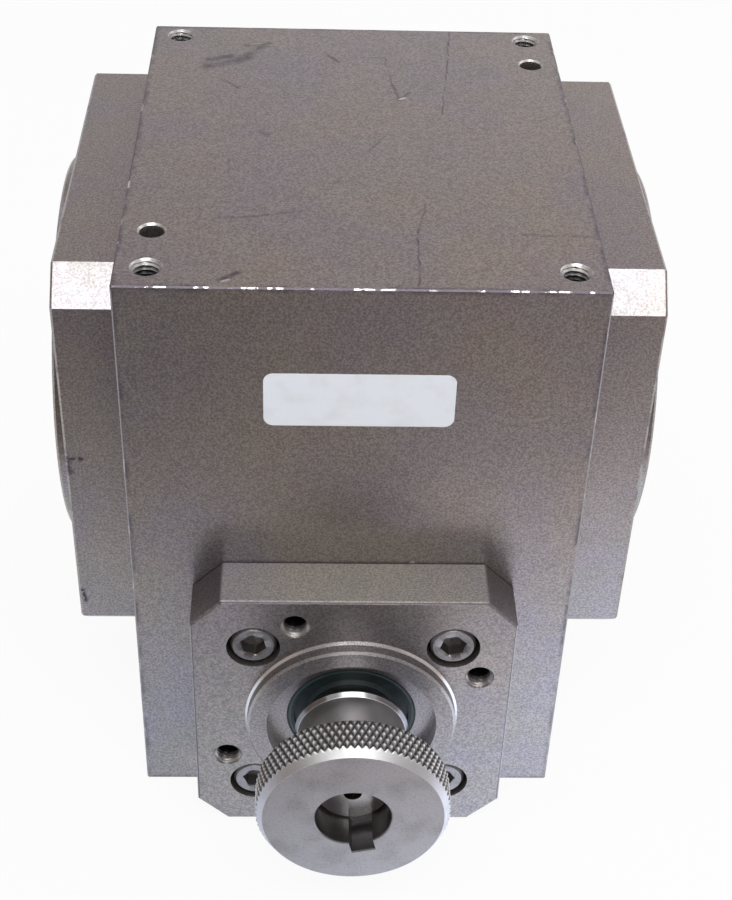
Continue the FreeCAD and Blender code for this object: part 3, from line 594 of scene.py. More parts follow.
def plate_finish(name, middle, half, dark=None, painted_highlight=None, matt=None):
    """Skin of a square plate with worn edges round its own box; functions of the place may add to it."""
    # Worn edges, and on the flange the painted highlight that is handed in.
    def bright(place):
        worn = box_edges(place, middle, half, 0.4) * place.noise(0.3).ramp(0.50, 0.64) * 0.35
        return worn.most(painted_highlight(place)) if painted_highlight else worn

    # Dark scuffs, and on the flange the painted shade that is handed in.
    def scuffs(place):
        rubbed = box_edges(place, middle, half, 0.9) * place.noise(0.2, 3.0).ramp(0.58, 0.66) * 0.8
        return rubbed.most(dark(place)) if dark else rubbed

    return anodised(name, bright, scuffs, matt)


def left_knocks(place):
    """Dark chips, broken up by a fine noise."""
    return marks_of(place, left_chips) * place.noise(1.1).ramp(0.36, 0.50)


dress(plate_finish("anodised_left_cover", LEFT_MIDDLE, COVER_HALF, left_knocks), "left_output_cover")
dress(plate_finish("anodised_right_cover", RIGHT_MIDDLE, COVER_HALF), "right_output_cover")
dress(plate_finish("anodised_cap", CAP_MIDDLE, CAP_HALF), "rear_cap")
print("the covers reach", COVER_SIDE + COVER_HALF[0], "mm to each side")

# %% [markdown]
# ## Input flange
# The flange is a plate with more history. Its upper side is matt from the mill, so it scatters the
# lamp's light instead of mirroring the room. Its corner sides and the front over the pilot are
# darkened with painted shade, and a painted highlight rings the pilot twice: at its foot and at its
# front edge. Each is a band between two distances.

# %% Dress the flange
FLANGE_MIDDLE, FLANGE_HALF = (0.0, -64.0, -50.8), (34.65, 6.2, 34.65)
FLANGE_TOP = FLANGE_MIDDLE[2] + FLANGE_HALF[2]
FLANGE_FACE = FLANGE_MIDDLE[1] - FLANGE_HALF[1]
FLANGE_CHAMFER = 6.7
CORNER_SUM = FLANGE_HALF[0] + FLANGE_HALF[2] - FLANGE_CHAMFER
PILOT_EDGE, PILOT_FOOT, PILOT_FACE = (22.35, 22.95), (22.95, 23.55), 73.2


def milled_side(place):
    """The flange's upper side, left as the mill cut it."""
    return place.part("Z").ramp(FLANGE_TOP - 0.4, FLANGE_TOP - 0.2)


def pilot_painted_highlight(place):
    """Painted highlight on the turned foot and front edge of the flange's pilot."""
    along, away = lathe_place(place, FORWARD, WORM_AXIS)
    foot = away.band(*PILOT_FOOT, soft=0.05) * along.ramp(0.02 - FLANGE_FACE, 0.1 - FLANGE_FACE)
    edge = away.band(*PILOT_EDGE, soft=0.05) * along.ramp(PILOT_FACE - 0.55, PILOT_FACE - 0.45)
    return (foot * 0.95).most(edge * 0.2)


def flange_dark(place):
    """Darker front half of the edge bevel, and painted shade on the four corner sides and over the pilot.
    """
    offset = place.vector("SUBTRACT", FLANGE_MIDDLE).vector("ABSOLUTE", FLANGE_MIDDLE)
    bevel = box_edges(place, FLANGE_MIDDLE, FLANGE_HALF, 0.6).ramp(0.0, 0.2)
    bevel = bevel * place.part("Y").ramp(FLANGE_FACE + 0.32, FLANGE_FACE + 0.24) * 0.8
    # Painted shade on the four corner sides.
    corners = (offset.part("X") + offset.part("Z")).ramp(CORNER_SUM - 0.25, CORNER_SUM - 0.1) * 0.3
    # Painted shade on the front face over the pilot.
    painted_shade_over_pilot = place.part("Z").ramp(FLANGE_TOP - 17.0, FLANGE_TOP - 3.0) * offset.part("X").ramp(28.0, 14.0)
    painted_shade_over_pilot = painted_shade_over_pilot * place.part("Y").ramp(FLANGE_FACE + 0.3, FLANGE_FACE + 0.2) * 0.25
    return strongest([bevel, corners, painted_shade_over_pilot])


dress(plate_finish("anodised_flange", FLANGE_MIDDLE, FLANGE_HALF, flange_dark, pilot_painted_highlight, milled_side),
      "input_flange")

# %% [markdown]
# ## Bare metal
# A turned or ground part carries fine lines that run round its axis. Stretched noise would give
# straight lines, so this noise reads the place along the axis and away from it, which is the same
# all round. A slow noise adds stains and a fine one specks. One function serves every metal with
# its own colour, shine and axis.

# %% Mix bare metal
LATHE_CELLS, BLOTCH_CELLS, SPECK_CELLS = 5.0, 0.16, 2.2
METAL_RELIEF = 0.006
# Dark and pale colours of a touch: grime and fresh metal, and on the hub also painted shade and a painted
# highlight.
GRIME_AND_SHADE = (0.035, 0.032, 0.036, 1)
FRESH_CUT_AND_HIGHLIGHT = (0.88, 0.88, 0.89, 1)
POLISH = 0.18


def metal(name, colour, stain, roughness, axis=(0, 0, 1), centre=(0, 0, 0), lines=0.5, metallic=1.0,
          touch=None):
    """Bare metal: a colour with stains, and lathe lines in its roughness and height.

    A function of the place along the axis and away from it may give dark, bright and polished shares.
    """
    finish, place = start_finish(name)
    along, away = lathe_place(place, axis, centre)
    cut = place.node("ShaderNodeCombineXYZ", {}, {0: along, 1: away}).noise(LATHE_CELLS, 3.0)
    blotch = place.noise(BLOTCH_CELLS, 4.0).ramp(0.42, 0.75)
    speck = place.noise(SPECK_CELLS).ramp(0.45, 0.75)
    shade = (blotch * 0.4 + speck * 0.6).blend(colour, stain)
    rough = roughness + (cut - 0.5) * (0.25 * lines) + blotch * 0.08
    height = cut * lines + speck * 0.3
    if touch:
        dark, bright, polished = touch(along, away)
        # On the hub the dark share holds painted shade in the bore, and the bright share a painted
        # highlight on the chamfer.
        shade = bright.blend(dark.blend(shade, GRIME_AND_SHADE), FRESH_CUT_AND_HIGHLIGHT)
        rough = rough - polished * POLISH
    fill(finish, {"Base Color": shade, "Metallic": metallic, "Roughness": rough,
                  "Normal": height.bump(METAL_RELIEF)})
    return finish


print("lathe lines", 1 / LATHE_CELLS, "mm apart")

# %% [markdown]
# ## Steel and bronze parts
# Plugs and inner bolts are blackened, shims are dark rolled sheet, the shafts are ground and the
# gear is bronze. The bearings' races and rollers are polished and their cages pressed. Most of
# these show only when the gearhead is opened or turned, yet each has its true metal.

# %% Dress the steel and bronze parts
dress(metal("black_oxide", (0.045, 0.045, 0.05, 1), (0.09, 0.08, 0.075, 1), 0.42, lines=0.2,
            metallic=0.7), "oil_plugs", "gear_bolts", "hub_set_screw")
dress(metal("shim_sheet", (0.14, 0.11, 0.13, 1), (0.09, 0.07, 0.08, 1), 0.45, lines=0.1),
      "left_cover_shim", "right_cover_shim", "input_flange_shim", "rear_cap_shim")
dress(metal("ground_output", (0.56, 0.55, 0.54, 1), (0.42, 0.40, 0.38, 1), 0.25, axis=(1, 0, 0)),
      "output_shaft")
dress(metal("ground_worm", (0.48, 0.46, 0.46, 1), (0.36, 0.34, 0.33, 1), 0.20, axis=(0, 1, 0),
            centre=WORM_AXIS), "worm_shaft")
dress(metal("cut_bronze", (0.62, 0.42, 0.20, 1), (0.45, 0.28, 0.13, 1), 0.33, axis=(1, 0, 0)),
      "worm_gear")
race_steel = metal("race_steel", (0.66, 0.66, 0.66, 1), (0.55, 0.54, 0.52, 1), 0.16, lines=0.2)
cage_sheet = metal("cage_sheet", (0.46, 0.45, 0.44, 1), (0.36, 0.34, 0.32, 1), 0.38, lines=0.2)
bearing_nodes = [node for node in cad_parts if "_bearing_" in node]
for node in bearing_nodes:
    dress(cage_sheet if node.endswith("_cage") else race_steel, node)
print("bearing parts:", len(bearing_nodes))

# %% [markdown]
# ## Seals
# The lip seals are nitrile rubber, nearly black with a green cast, dull with dust, and a painted
# highlight runs round just within the rim. Rubber is no metal, so its shader stays at metallic 0, and
# dust both lightens and dulls it.

# %% Mix the seals' rubber
NITRILE = (0.010, 0.022, 0.026, 1)
NITRILE_DUST = (0.032, 0.052, 0.056, 1)
# Paler colour of the painted highlight near the seal's rim.
NITRILE_HIGHLIGHT = (0.085, 0.125, 0.125, 1)
RUBBER_RELIEF = 0.01
OUTPUT_SEAL_RADIUS, INPUT_SEAL_RADIUS = 30.185, 14.25


def rubber(name, axis, centre, radius):
    """Nitrile rubber, dusty, with a painted highlight just within the seal's own radius."""
    finish, place = start_finish(name)
    _, away = lathe_place(place, axis, centre)
    # Painted highlight in a ring just within the seal's radius.
    rim_highlight = away.band(radius - 0.875, radius - 0.425, soft=0.125)
    dust = place.noise(0.5, 4.0).ramp(0.45, 0.75)
    colour = (rim_highlight * 0.8).blend((dust * 0.6).blend(NITRILE, NITRILE_DUST), NITRILE_HIGHLIGHT)
    fill(finish, {"Base Color": colour, "Roughness": 0.42 + dust * 0.2,
                  "Normal": place.noise(4.0).bump(RUBBER_RELIEF)})
    return finish


dress(rubber("output_rubber", (1, 0, 0), (0, 0, 0), OUTPUT_SEAL_RADIUS),
      "left_output_seal", "right_output_seal")
dress(rubber("input_rubber", (0, 1, 0), WORM_AXIS, INPUT_SEAL_RADIUS), "input_seal")

# %% [markdown]
# ## Rings into pieces
# Screws, threads, the hub and the plate are all rows of rings: points that go round, ring after
# ring. Blender's own cylinders would need cutting and joining afterwards, while a formula for the
# radius at each angle and height gives hexagons, serrations and threads in one go. A grid of such
# points needs only the numbers of the corners of its quads.

# %% Lay rings round an axis
def round_axis(radius, along, angle, centre, axis, start):
    """Point at a radius and an angle round an axis, and at a distance along it.

    The centre, plus the axis times the distance, plus the radius times the start direction's cosine
    share and the sine share of the direction a quarter turn on.
    """
    radius, along, angle = np.broadcast_arrays(radius, along, angle)
    ahead = np.multiply.outer(radius * np.cos(angle), start)
    aside = np.multiply.outer(radius * np.sin(angle), np.cross(axis, start))
    return np.add(centre, np.multiply.outer(along, axis) + (ahead + aside))


def full_turn(steps):
    """Angles of a ring's points: their number times a full turn over the count."""
    return np.arange(steps) * 2 * np.pi / steps


def ring_faces(rows, around):
    """Corners of the quads between rings: a point, the next one round, and both one ring on."""
    row, step = np.meshgrid(np.arange(rows - 1), np.arange(around), indexing="ij")
    here = row * around + step
    beside = row * around + (step + 1) % around
    return np.stack([here, beside, beside + around, here + around], axis=-1)


def rings(points):
    """A grid of rings with all of its quads."""
    return points, ring_faces(*points.shape[:2])


print("two rings of six points have", ring_faces(2, 6).size // 4, "quads between them")

# %% [markdown]
# Where two grids meet, and where a ring shrinks to a pole, points fall on each other. Blender can
# merge them by distance afterwards, but then the number of points is known only after the fact.
# Here equal points become one before the mesh is made, which closes the seams and the poles.

# %% Weld grids that touch
WELD = 1e-5


def weld(grids):
    """Join grids of points and quads.

    Equal points become one, and a quad with two equal corners becomes a triangle.
    """
    points = np.concatenate([grid.reshape(-1, 3) for grid, _ in grids])
    starts = np.cumsum([0] + [grid.size // 3 for grid, _ in grids])
    quads = np.concatenate([faces.reshape(-1, 4) + start for (_, faces), start in zip(grids, starts)])
    keys = np.round(points / WELD).astype(np.int64)
    _, first, number = np.unique(keys, axis=0, return_index=True, return_inverse=True)
    quads = number.reshape(-1)[quads]
    pole_first = quads[:, 0] == quads[:, 1]
    pole_last = quads[:, 2] == quads[:, 3]
    corners = quads[~pole_first & ~pole_last].tolist()
    corners += quads[pole_first & ~pole_last][:, 1:].tolist()
    corners += quads[pole_last & ~pole_first][:, :3].tolist()
    return points[first], corners


print("points closer than", WELD, "mm become one")

# %% [markdown]
# A piece is one mesh with its place already in its points, so its object stays at the origin. It
# rides on a body and stands for the CAD nodes that it replaces. Faces are shaded smooth, apart from
# the edges that are sharper than an angle.

# %% Make a piece of rings
SHARP = math.radians(32)


def make_piece(name, grids, finish, body, slot, *nodes):
    """One mesh of welded grids that rides on a body and stands for CAD nodes."""
    points, corners = weld(grids)
    mesh = bpy.data.meshes.new(name)
    mesh.from_pydata((points * MM).tolist(), [], corners)
    mesh.polygons.foreach_set("use_smooth", np.ones(len(corners), dtype=bool))
    mesh.set_sharp_from_angle(angle=SHARP)
    mesh.materials.append(finish)
    piece = bpy.data.objects.new(name, mesh)
    bpy.context.collection.objects.link(piece)
    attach(piece, body)
    if nodes:
        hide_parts(*nodes)
    print(name, len(points), "points", len(corners), "faces")


print("edges over", round(math.degrees(SHARP)), "degrees stay sharp")

# %% [markdown]
# ## Cap screws
# Sixteen M6 socket cap screws hold the plates. A screw could be a cylinder with a hexagon cut out
# of it, but a boolean leaves long thin faces. Here it is one row of rings from the tip of its shank
# up over its head and down into its socket. The socket's rings are hexagons, and the head's side
# has a fine serration.

# %% Turn a cap screw
SCREW_AROUND = 96
SHANK_RADIUS, CORE_RADIUS, CORE_TIP = 2.98, 2.46, 0.5
HEAD_RADIUS, HEAD_HEIGHT, HEAD_FOOT, HEAD_EDGE = 5.0, 6.0, 0.3, 0.6
SHOULDER_IN, SHOULDER_DOWN = 0.2, 0.45
SERRATION = 0.16
SOCKET_HALF, SOCKET_MOUTH, SOCKET_DEPTH, SOCKET_POINT = 2.5, 3.0, 3.0, 0.8
SOCKET_LEAD = 0.25
GRIP = 15.0


def cap_screw(seat, outward, start, shank, turn):
    """Rings of a cap screw that sits at a seat and looks outward; its socket is turned by an angle.

    A hexagon's radius at an angle is its half width over the cosine of the angle from the nearest
    flat's middle. The serration takes a little off every second point of the head's side.
    """
    angle = full_turn(SCREW_AROUND)
    circle = np.ones(SCREW_AROUND)
    hexagon = SOCKET_HALF / np.cos((angle + np.pi / 6) % (np.pi / 3) - np.pi / 6)
    ribbed = HEAD_RADIUS - SERRATION * (np.arange(SCREW_AROUND) % 2)
    tip, top, floor = -shank - GRIP, HEAD_HEIGHT, HEAD_HEIGHT - SOCKET_DEPTH
    profile = [
        (0 * circle, tip), ((CORE_RADIUS - CORE_TIP) * circle, tip), (CORE_RADIUS * circle, tip + CORE_TIP),
        (CORE_RADIUS * circle, -shank), (SHANK_RADIUS * circle, -shank), (SHANK_RADIUS * circle, 0),
        ((HEAD_RADIUS - HEAD_FOOT) * circle, 0), (ribbed, HEAD_FOOT), (ribbed, top - HEAD_EDGE),
        ((HEAD_RADIUS - SHOULDER_IN) * circle, top - SHOULDER_DOWN),
        ((HEAD_RADIUS - HEAD_EDGE) * circle, top), (SOCKET_MOUTH * circle, top),
        (hexagon, top - SOCKET_LEAD), (hexagon, floor), (0 * circle, floor - SOCKET_POINT)]
    radius = np.stack([ring for ring, _ in profile])
    along = np.array([height for _, height in profile])
    return rings(round_axis(radius, along[:, None], angle + turn, seat, outward, start))


print("a cap screw is", HEAD_HEIGHT + GRIP, "mm long, plus its plain shank")

# %% [markdown]
# Each plate has four screws at the corners of a square. A screw stops at any angle when it is
# tightened, so each socket is turned one step more than the last. Their steel is plain and a little
# dirty.

# %% Set the cap screws into the plates
FIRST_TURN, NEXT_TURN = 0.37, 1.9
UP = np.array((0.0, 0.0, 1.0))
screw_steel = metal("plain_screw", (0.34, 0.325, 0.32, 1), (0.17, 0.157, 0.15, 1), 0.40, lines=0.2)


def corner_screws(name, node, centre, outward, across, start, offset, shank):
    """Four cap screws at the corners of a square: the centre plus or minus an offset across and up."""
    outward, across, start = np.array([outward, across, start], dtype=float)
    grids = []
    for index, (a, b) in enumerate(((1, 1), (1, -1), (-1, -1), (-1, 1))):
        seat = np.add(centre, offset * (a * across + b * UP))
        grids.append(cap_screw(seat, outward, start, shank, FIRST_TURN + NEXT_TURN * index))
    make_piece(name, grids, screw_steel, "housing_body", "screw_steel", node)


FLANGE_SCREWS, COVER_SCREWS = 21.355, 40.5
corner_screws("flange_cap_screws", "input_flange_screws", (0, -63.65, -50.8), (0, -1, 0), (1, 0, 0),
              (-0.8, 0, 0.6), FLANGE_SCREWS, shank=5.85)
corner_screws("rear_cap_cap_screws", "rear_cap_screws", (0, 60.75, -50.8), (0, 1, 0), (1, 0, 0),
              (0.8, 0, -0.6), FLANGE_SCREWS, shank=2.95)
corner_screws("left_cover_cap_screws", "left_cover_screws", (-54.5, 0, 0), (-1, 0, 0), (0, 1, 0),
              (0, 0.6, 0.8), COVER_SCREWS, shank=6.875)
corner_screws("right_cover_cap_screws", "right_cover_screws", (54.5, 0, 0), (1, 0, 0), (0, 1, 0),
              (0, 0.6, 0.8), COVER_SCREWS, shank=6.875)

# %% [markdown]
# ## Threads in the open holes
# The top and the flange have open M6 holes, and light catches their threads. A bump would flatten
# out at the rim, so each thread is a thin sleeve inside its plain hole. Its radius is a V that
# climbs one pitch in each turn, cut away at the mouth by the countersink's cone.

# %% Cut a thread
PITCH = 1.0
MINOR, MAJOR, SLEEVE = 2.46, 2.93, 2.985
CREST, FLANK = 0.22, 0.62
THREAD_AROUND = 48
ROWS_PER_TURN = 10


def thread_sleeve(mouth, outward, depth):
    """Rings of a threaded sleeve that lines a hole from its countersunk mouth down to a depth.

    A triangle wave of the depth in pitches plus the angle in turns, with its crest and root trimmed
    flat, goes from the minor to the major radius. The cone takes over where it is wider, and both
    ends meet the sleeve's outside.
    """
    angle = full_turn(THREAD_AROUND)
    below = np.linspace(TAP_MOUTH - SLEEVE, depth, int(depth * ROWS_PER_TURN / PITCH))[:, None]
    climb = (-below / PITCH - angle / (2 * np.pi)) % 1
    cut = np.clip((np.abs(2 * climb - 1) - CREST) / FLANK, 0, 1)
    wall = np.maximum(MINOR + (MAJOR - MINOR) * cut, TAP_MOUTH - below)
    wall[[0, -1]] = SLEEVE
    radius = np.concatenate([np.full((1, THREAD_AROUND), SLEEVE), wall])
    along = np.concatenate([[-depth], -below[:, 0]])
    return rings(round_axis(radius, along[:, None], angle, mouth, outward, np.array((1.0, 0.0, 0.0))))


print("thread depth", round(MAJOR - MINOR, 2), "mm")

# %% [markdown]
# A cut thread is bright at its mouth and darker farther down. The depth below the face gives
# that: the top's holes go down and the flange's go in, so each finish is told which way to measure.

# %% Line the open holes
THREAD_CUT = (0.46, 0.44, 0.43, 1)
THREAD_DEEP = (0.015, 0.015, 0.018, 1)
TOP_DEPTH, FLANGE_DEPTH = 14.0, 11.5
TAP_CIRCLE, TAP_ANGLE = 30.2, 24.5


def thread_finish(name, depth_of):
    """Cut threads that darken with depth, as a function of the place says how deep they lie."""
    finish, place = start_finish(name)
    depth = depth_of(place) + (place.noise(0.8) - 0.5) * 0.8
    fill(finish, {"Base Color": depth.ramp(0.4, 3.6).blend(THREAD_CUT, THREAD_DEEP), "Metallic": 0.9,
                  "Roughness": 0.3 + place.noise(2.0) * 0.15})
    return finish


top_mouths = [(x, y, TOP) for x, y in top_taps]
tap_turns = np.radians(TAP_ANGLE + 90 * np.arange(4))
tap_ways = np.stack([np.cos(tap_turns), 0 * tap_turns, np.sin(tap_turns)], axis=1)
flange_mouths = np.add(WORM_AXIS, TAP_CIRCLE * tap_ways)
flange_mouths[:, 1] = FLANGE_FACE
top_thread = thread_finish("top_thread", lambda place: TOP - place.part("Z"))
flange_thread = thread_finish("flange_thread", lambda place: place.part("Y") - FLANGE_FACE)
make_piece("top_threads", [thread_sleeve(mouth, UP, TOP_DEPTH) for mouth in top_mouths],
           top_thread, "housing_body", "anodised_aluminium")
make_piece("flange_threads",
           [thread_sleeve(mouth, np.array(FORWARD), FLANGE_DEPTH) for mouth in flange_mouths],
           flange_thread, "housing_body", "anodised_aluminium")

# %% [markdown]
# ## Knurled hub
# The hub's rim is knurled so that a sleeve grips it. A knurling tool rolls two sets of V grooves
# that cross, so the height that is left is the lower of two triangle waves, one leaning each way
# round the rim. A bump map would leave the outline smooth. As geometry, the diamonds also break the
# border of the chamfer.

# %% Shape the hub's rim and bore
HUB_BACK, RIM_BACK, HUB_FACE = 74.0, 89.6, 98.7
BOSS_RADIUS, RIM_RADIUS, BORE_RADIUS = 11.75, 20.5, 8.02
RIM_CHAMFER, CHAMFER_SLOPE, BACK_EDGE = 1.5, 0.75, 0.5
GROOVES, STEPS_PER_GROOVE = 83, 12
KNURL_DEPTH, KNURL_LEAN, KNURL_STEEPNESS = 0.42, 3.1, 1.25
KEY_HALF, KEY_DEPTH, KEY_ANGLE = 2.52, 10.52, math.radians(13.5)
HUB_AROUND = GROOVES * STEPS_PER_GROOVE
KEY_WAY = np.array((math.sin(KEY_ANGLE), 0.0, -math.cos(KEY_ANGLE)))
hub_angle = full_turn(HUB_AROUND)


def knurled(along):
    """Radius of the rim, trimmed by both chamfers.

    Full height less the deeper of two crossing sets of V grooves. Each set is a triangle wave of the
    count of grooves, shifted one way or the other along the rim.
    """
    lean = (along - RIM_BACK) / (HUB_FACE - RIM_BACK) * KNURL_LEAN
    count = hub_angle * GROOVES / (2 * np.pi)
    waves = [1 - np.abs(2 * ((count + sign * lean) % 1) - 1) for sign in (1, -1)]
    left = np.minimum(1.0, KNURL_STEEPNESS * np.minimum(*waves))
    front = RIM_RADIUS - RIM_CHAMFER + CHAMFER_SLOPE * (HUB_FACE - along)
    back = RIM_RADIUS - BACK_EDGE + along - RIM_BACK
    return np.minimum(RIM_RADIUS - KNURL_DEPTH * (1 - left), np.minimum(front, back))


def keyed_bore():
    """Radius of the bore: a circle, and in the key's angle the distance to the slot's floor or walls."""
    turn = np.abs((hub_angle + np.pi) % (2 * np.pi) - np.pi)
    floor_line = KEY_DEPTH / np.cos(np.minimum(turn, 1.0))
    wall_line = KEY_HALF / np.sin(np.maximum(turn, 1e-6))
    return np.maximum(BORE_RADIUS, np.where(turn < np.pi / 2, np.minimum(floor_line, wall_line), 0))


def hub_rings(radius, along):
    """Points round the hub's axis at a radius and a distance along it; angles count from the key."""
    return round_axis(radius, np.array(along)[:, None], hub_angle, WORM_AXIS, np.array(FORWARD), KEY_WAY)


print("knurl pitch", round(2 * math.pi * RIM_RADIUS / GROOVES, 2), "mm")

# %% [markdown]
# The hub is turned steel. The knurl's valleys are darker and the bore is darkened with painted
# shade, while the knurl's tops and the boss show fresh metal, the front chamfer is pale with fresh
# metal and a painted highlight, and the collar at the back is dark and smooth. All of these are
# bands along the axis and away from it, so the shares come from the two distances that the metal
# already has.

# %% Mix the hub's steel
def hub_touch(along, away):
    """Dark, bright and polished shares of the hub's steel."""
    cone = CHAMFER_SLOPE * HUB_FACE + RIM_RADIUS - RIM_CHAMFER
    chamfer = (along * CHAMFER_SLOPE + away).ramp(cone - 0.10, cone - 0.04)
    rim = away.ramp(RIM_RADIUS - 1.0, RIM_RADIUS - 0.7)
    valley = rim * away.ramp(RIM_RADIUS - 0.04, RIM_RADIUS - KNURL_DEPTH) * (1 - chamfer)
    tops = away.ramp(RIM_RADIUS - 0.2, RIM_RADIUS - 0.02)
    # Painted shade in the bore, behind the front face.
    inside = away.ramp(BOSS_RADIUS - 0.6, BOSS_RADIUS - 0.8) * along.ramp(HUB_FACE - 0.02, HUB_FACE - 0.3)
    boss = along.ramp(RIM_BACK - 0.05, RIM_BACK - 0.2) * away.ramp(BOSS_RADIUS + 0.1, BOSS_RADIUS + 0.05)
    collar = away.ramp(BOSS_RADIUS + 0.05, BOSS_RADIUS + 0.1) * along.ramp(RIM_BACK - 3.0, RIM_BACK - 4.0)
    dark = strongest([valley * 0.75, inside * 0.35, collar * 0.3])
    # The chamfer's pale share is fresh metal and a painted highlight.
    bright = strongest([chamfer * 0.5, boss * (1 - inside) * 0.6, tops * 0.75])
    return dark, bright, collar - chamfer * 0.5


hub_steel = metal("turned_hub", (0.415, 0.41, 0.415, 1), (0.28, 0.275, 0.27, 1), 0.34, axis=FORWARD,
                  centre=WORM_AXIS, touch=hub_touch)
dress(hub_steel, "input_key")

# %% [markdown]
# The set screw's hole goes into the boss sideways. Its place on the boss is a window left out of
# the grid of faces. The window's border is carried along rays from its middle to the hole's circle,
# and the circle down into the metal, which needs no boolean and leaves even faces.

# %% Open the set screw's hole in the boss
COLLAR_WIDTH, COLLAR_STEP = 0.4, 0.68
SCREW_PLACE, SCREW_HOLE, SCREW_FLOOR = 81.8, 2.42, 8.05
WINDOW_HALF, WINDOW_ROWS, WINDOW_STEPS = 3.0, 21, 37

boss_start = HUB_BACK + COLLAR_WIDTH + COLLAR_STEP / CHAMFER_SLOPE
window_along = SCREW_PLACE + np.linspace(-WINDOW_HALF, WINDOW_HALF, WINDOW_ROWS)
boss_along = np.concatenate([[boss_start], window_along, [RIM_BACK]])
boss = hub_rings(BOSS_RADIUS, boss_along)
boss_faces = ring_faces(*boss.shape[:2])
middle = HUB_AROUND * 3 // 4
left, right, low, high = middle - WINDOW_STEPS, middle + WINDOW_STEPS, 1, WINDOW_ROWS
closed = np.ones(boss_faces.shape[:2], dtype=bool)
closed[low:high, left:right] = False

row_walk = np.concatenate([np.full(right - left, low), np.arange(low, high),
                           np.full(right - left, high), np.arange(high, low, -1)])
step_walk = np.concatenate([np.arange(left, right), np.full(high - low, right),
                            np.arange(right, left, -1), np.full(high - low, left)])
arc = BOSS_RADIUS * (hub_angle[step_walk] - hub_angle[middle])
ray = np.arctan2(boss_along[row_walk] - SCREW_PLACE, arc)
screw_out = np.cross(KEY_WAY, FORWARD)
screw_side = np.cross(FORWARD, screw_out)
aside = SCREW_HOLE * np.cos(ray)
heart = np.add(WORM_AXIS, SCREW_PLACE * np.array(FORWARD))
wall = heart + np.outer(aside, screw_side) + np.outer(SCREW_HOLE * np.sin(ray), FORWARD)
mouth = wall + np.outer(np.sqrt(BOSS_RADIUS ** 2 - aside ** 2), screw_out)
floor = SCREW_FLOOR * screw_out
floor_middle = np.tile(heart + floor, (len(ray), 1))
screw_hole = np.stack([boss[row_walk, step_walk], mouth, wall + floor, floor_middle])
print("set screw hole", round(BOSS_RADIUS - SCREW_FLOOR, 2), "mm deep,", len(ray), "points round it")

# %% [markdown]
# The rest of the hub is rings: the back with its collar, the step up to the rim, the knurl in close
# rows, closest at the chamfer where the diamonds end, and the front face that turns over into the
# keyed bore.

# %% Join the rings of the hub
KNURL_ROWS, CHAMFER_ROWS = 30, 18
KNURL_END, CHAMFER_START = HUB_FACE - 1.4, HUB_FACE - 1.32
BORE_BREAK = 0.25

circle = np.ones(HUB_AROUND)
bore = keyed_bore()
collar = (BOSS_RADIUS + COLLAR_STEP) * circle
rim_along = np.concatenate([np.linspace(RIM_BACK, KNURL_END, KNURL_ROWS),
                            np.linspace(CHAMFER_START, HUB_FACE, CHAMFER_ROWS)])
rim = hub_rings(knurled(rim_along[:, None]), rim_along)
back_face = hub_rings(np.stack([bore, collar, collar, BOSS_RADIUS * circle]),
                      [HUB_BACK, HUB_BACK, HUB_BACK + COLLAR_WIDTH, boss_start])
step_face = hub_rings(np.stack([BOSS_RADIUS * circle, knurled(RIM_BACK)]), [RIM_BACK, RIM_BACK])
front_face = hub_rings(np.stack([knurled(HUB_FACE), bore + BORE_BREAK, bore, bore]),
                       [HUB_FACE, HUB_FACE, HUB_FACE - BORE_BREAK, HUB_BACK])
make_piece("knurled_hub", [
    rings(back_face), (boss, boss_faces[closed]), rings(step_face), rings(rim), rings(front_face),
    rings(screw_hole)], hub_steel, "input_body", "hub_steel", "input_hub")

# %% [markdown]
# ## Bare plate
# A thin silver plate with rounded corners sits on the front of the block. A cube with bevelled
# edges would do, but rings of rounded rectangles, from its foot over its edge to the middle of its
# face, give a cleaner corner. Its finish is drawn foil, with long fine streaks and a little soil.

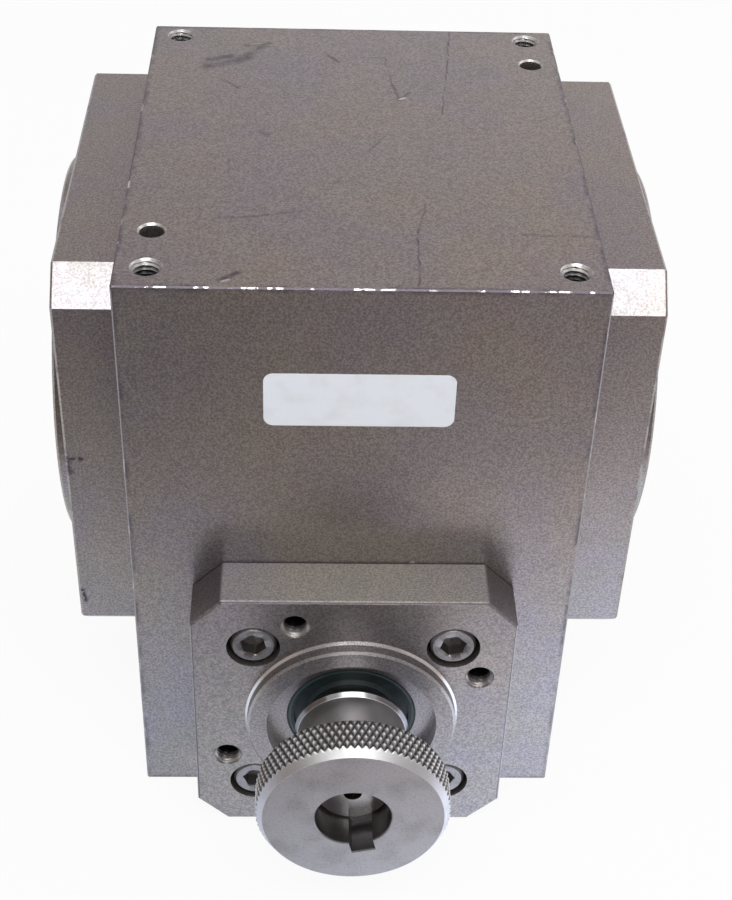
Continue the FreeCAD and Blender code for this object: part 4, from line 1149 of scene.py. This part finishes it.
# %% Lay the plate on the block
PLATE_WIDTH, PLATE_HEIGHT, PLATE_CORNER = 38.1, 12.7, 2.0
PLATE_THICK, PLATE_EDGE, PLATE_BEVEL = 0.16, 0.05, 0.06
PLATE_MIDDLE = (0.0, FRONT, 27.1)
PLATE_STEPS = 12
SILVER = (0.84, 0.865, 0.93, 1)
SILVER_WORN = (0.74, 0.76, 0.80, 1)
DRAWN_CELLS = (7.0, 1.0, 0.12)


def rounded_ring(inset, out):
    """Rounded rectangle: a corner's middle plus its radius, less an inset, at an angle in its quarter."""
    angle = (np.arange(4)[:, None] + np.linspace(0, 1, PLATE_STEPS)).ravel() * np.pi / 2
    corner_x = np.repeat([1, -1, -1, 1], PLATE_STEPS) * (PLATE_WIDTH / 2 - PLATE_CORNER)
    corner_z = np.repeat([1, 1, -1, -1], PLATE_STEPS) * (PLATE_HEIGHT / 2 - PLATE_CORNER)
    reach = PLATE_CORNER - inset
    flat = np.stack([corner_x + reach * np.cos(angle), np.full(angle.size, -out),
                     corner_z + reach * np.sin(angle)], axis=1)
    return np.add(PLATE_MIDDLE, flat)


silver, place = start_finish("plate_silver")
drawn = place.vector("MULTIPLY", DRAWN_CELLS).noise(1.0, 3.0)
soil = place.noise(0.25, 3.0).ramp(0.45, 0.75)
fill(silver, {"Base Color": (soil * 0.5 + drawn * 0.3).blend(SILVER, SILVER_WORN), "Metallic": 0.0,
              "Roughness": 0.38 + drawn * 0.1, "Normal": drawn.bump(SKIN_RELIEF)})
edge_ring = rounded_ring(0, 0)
foot = np.tile(PLATE_MIDDLE, (len(edge_ring), 1))
plate_rings = np.stack([foot, edge_ring, rounded_ring(0, PLATE_THICK - PLATE_EDGE),
                        rounded_ring(PLATE_BEVEL, PLATE_THICK), foot - (0, PLATE_THICK, 0)])
make_piece("bare_plate", [rings(plate_rings[:, ::-1])], silver, "housing_body", "anodised_aluminium")

# %% [markdown]
# ## Compare the boxes
# The dressed gearhead may not be larger than its solids. Both boxes are set side by side and the
# growth past the solids is printed, so that a piece which grows past them is found at once.

# %% Set both boxes side by side
boxes = {"cad": [list(map(float, corner)) for corner in cad_box],
         "visual": [list(map(float, corner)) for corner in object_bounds()]}
growth = np.subtract(boxes["visual"], boxes["cad"]) / MM
print("past the CAD box in mm:", np.round(growth, 3).tolist())
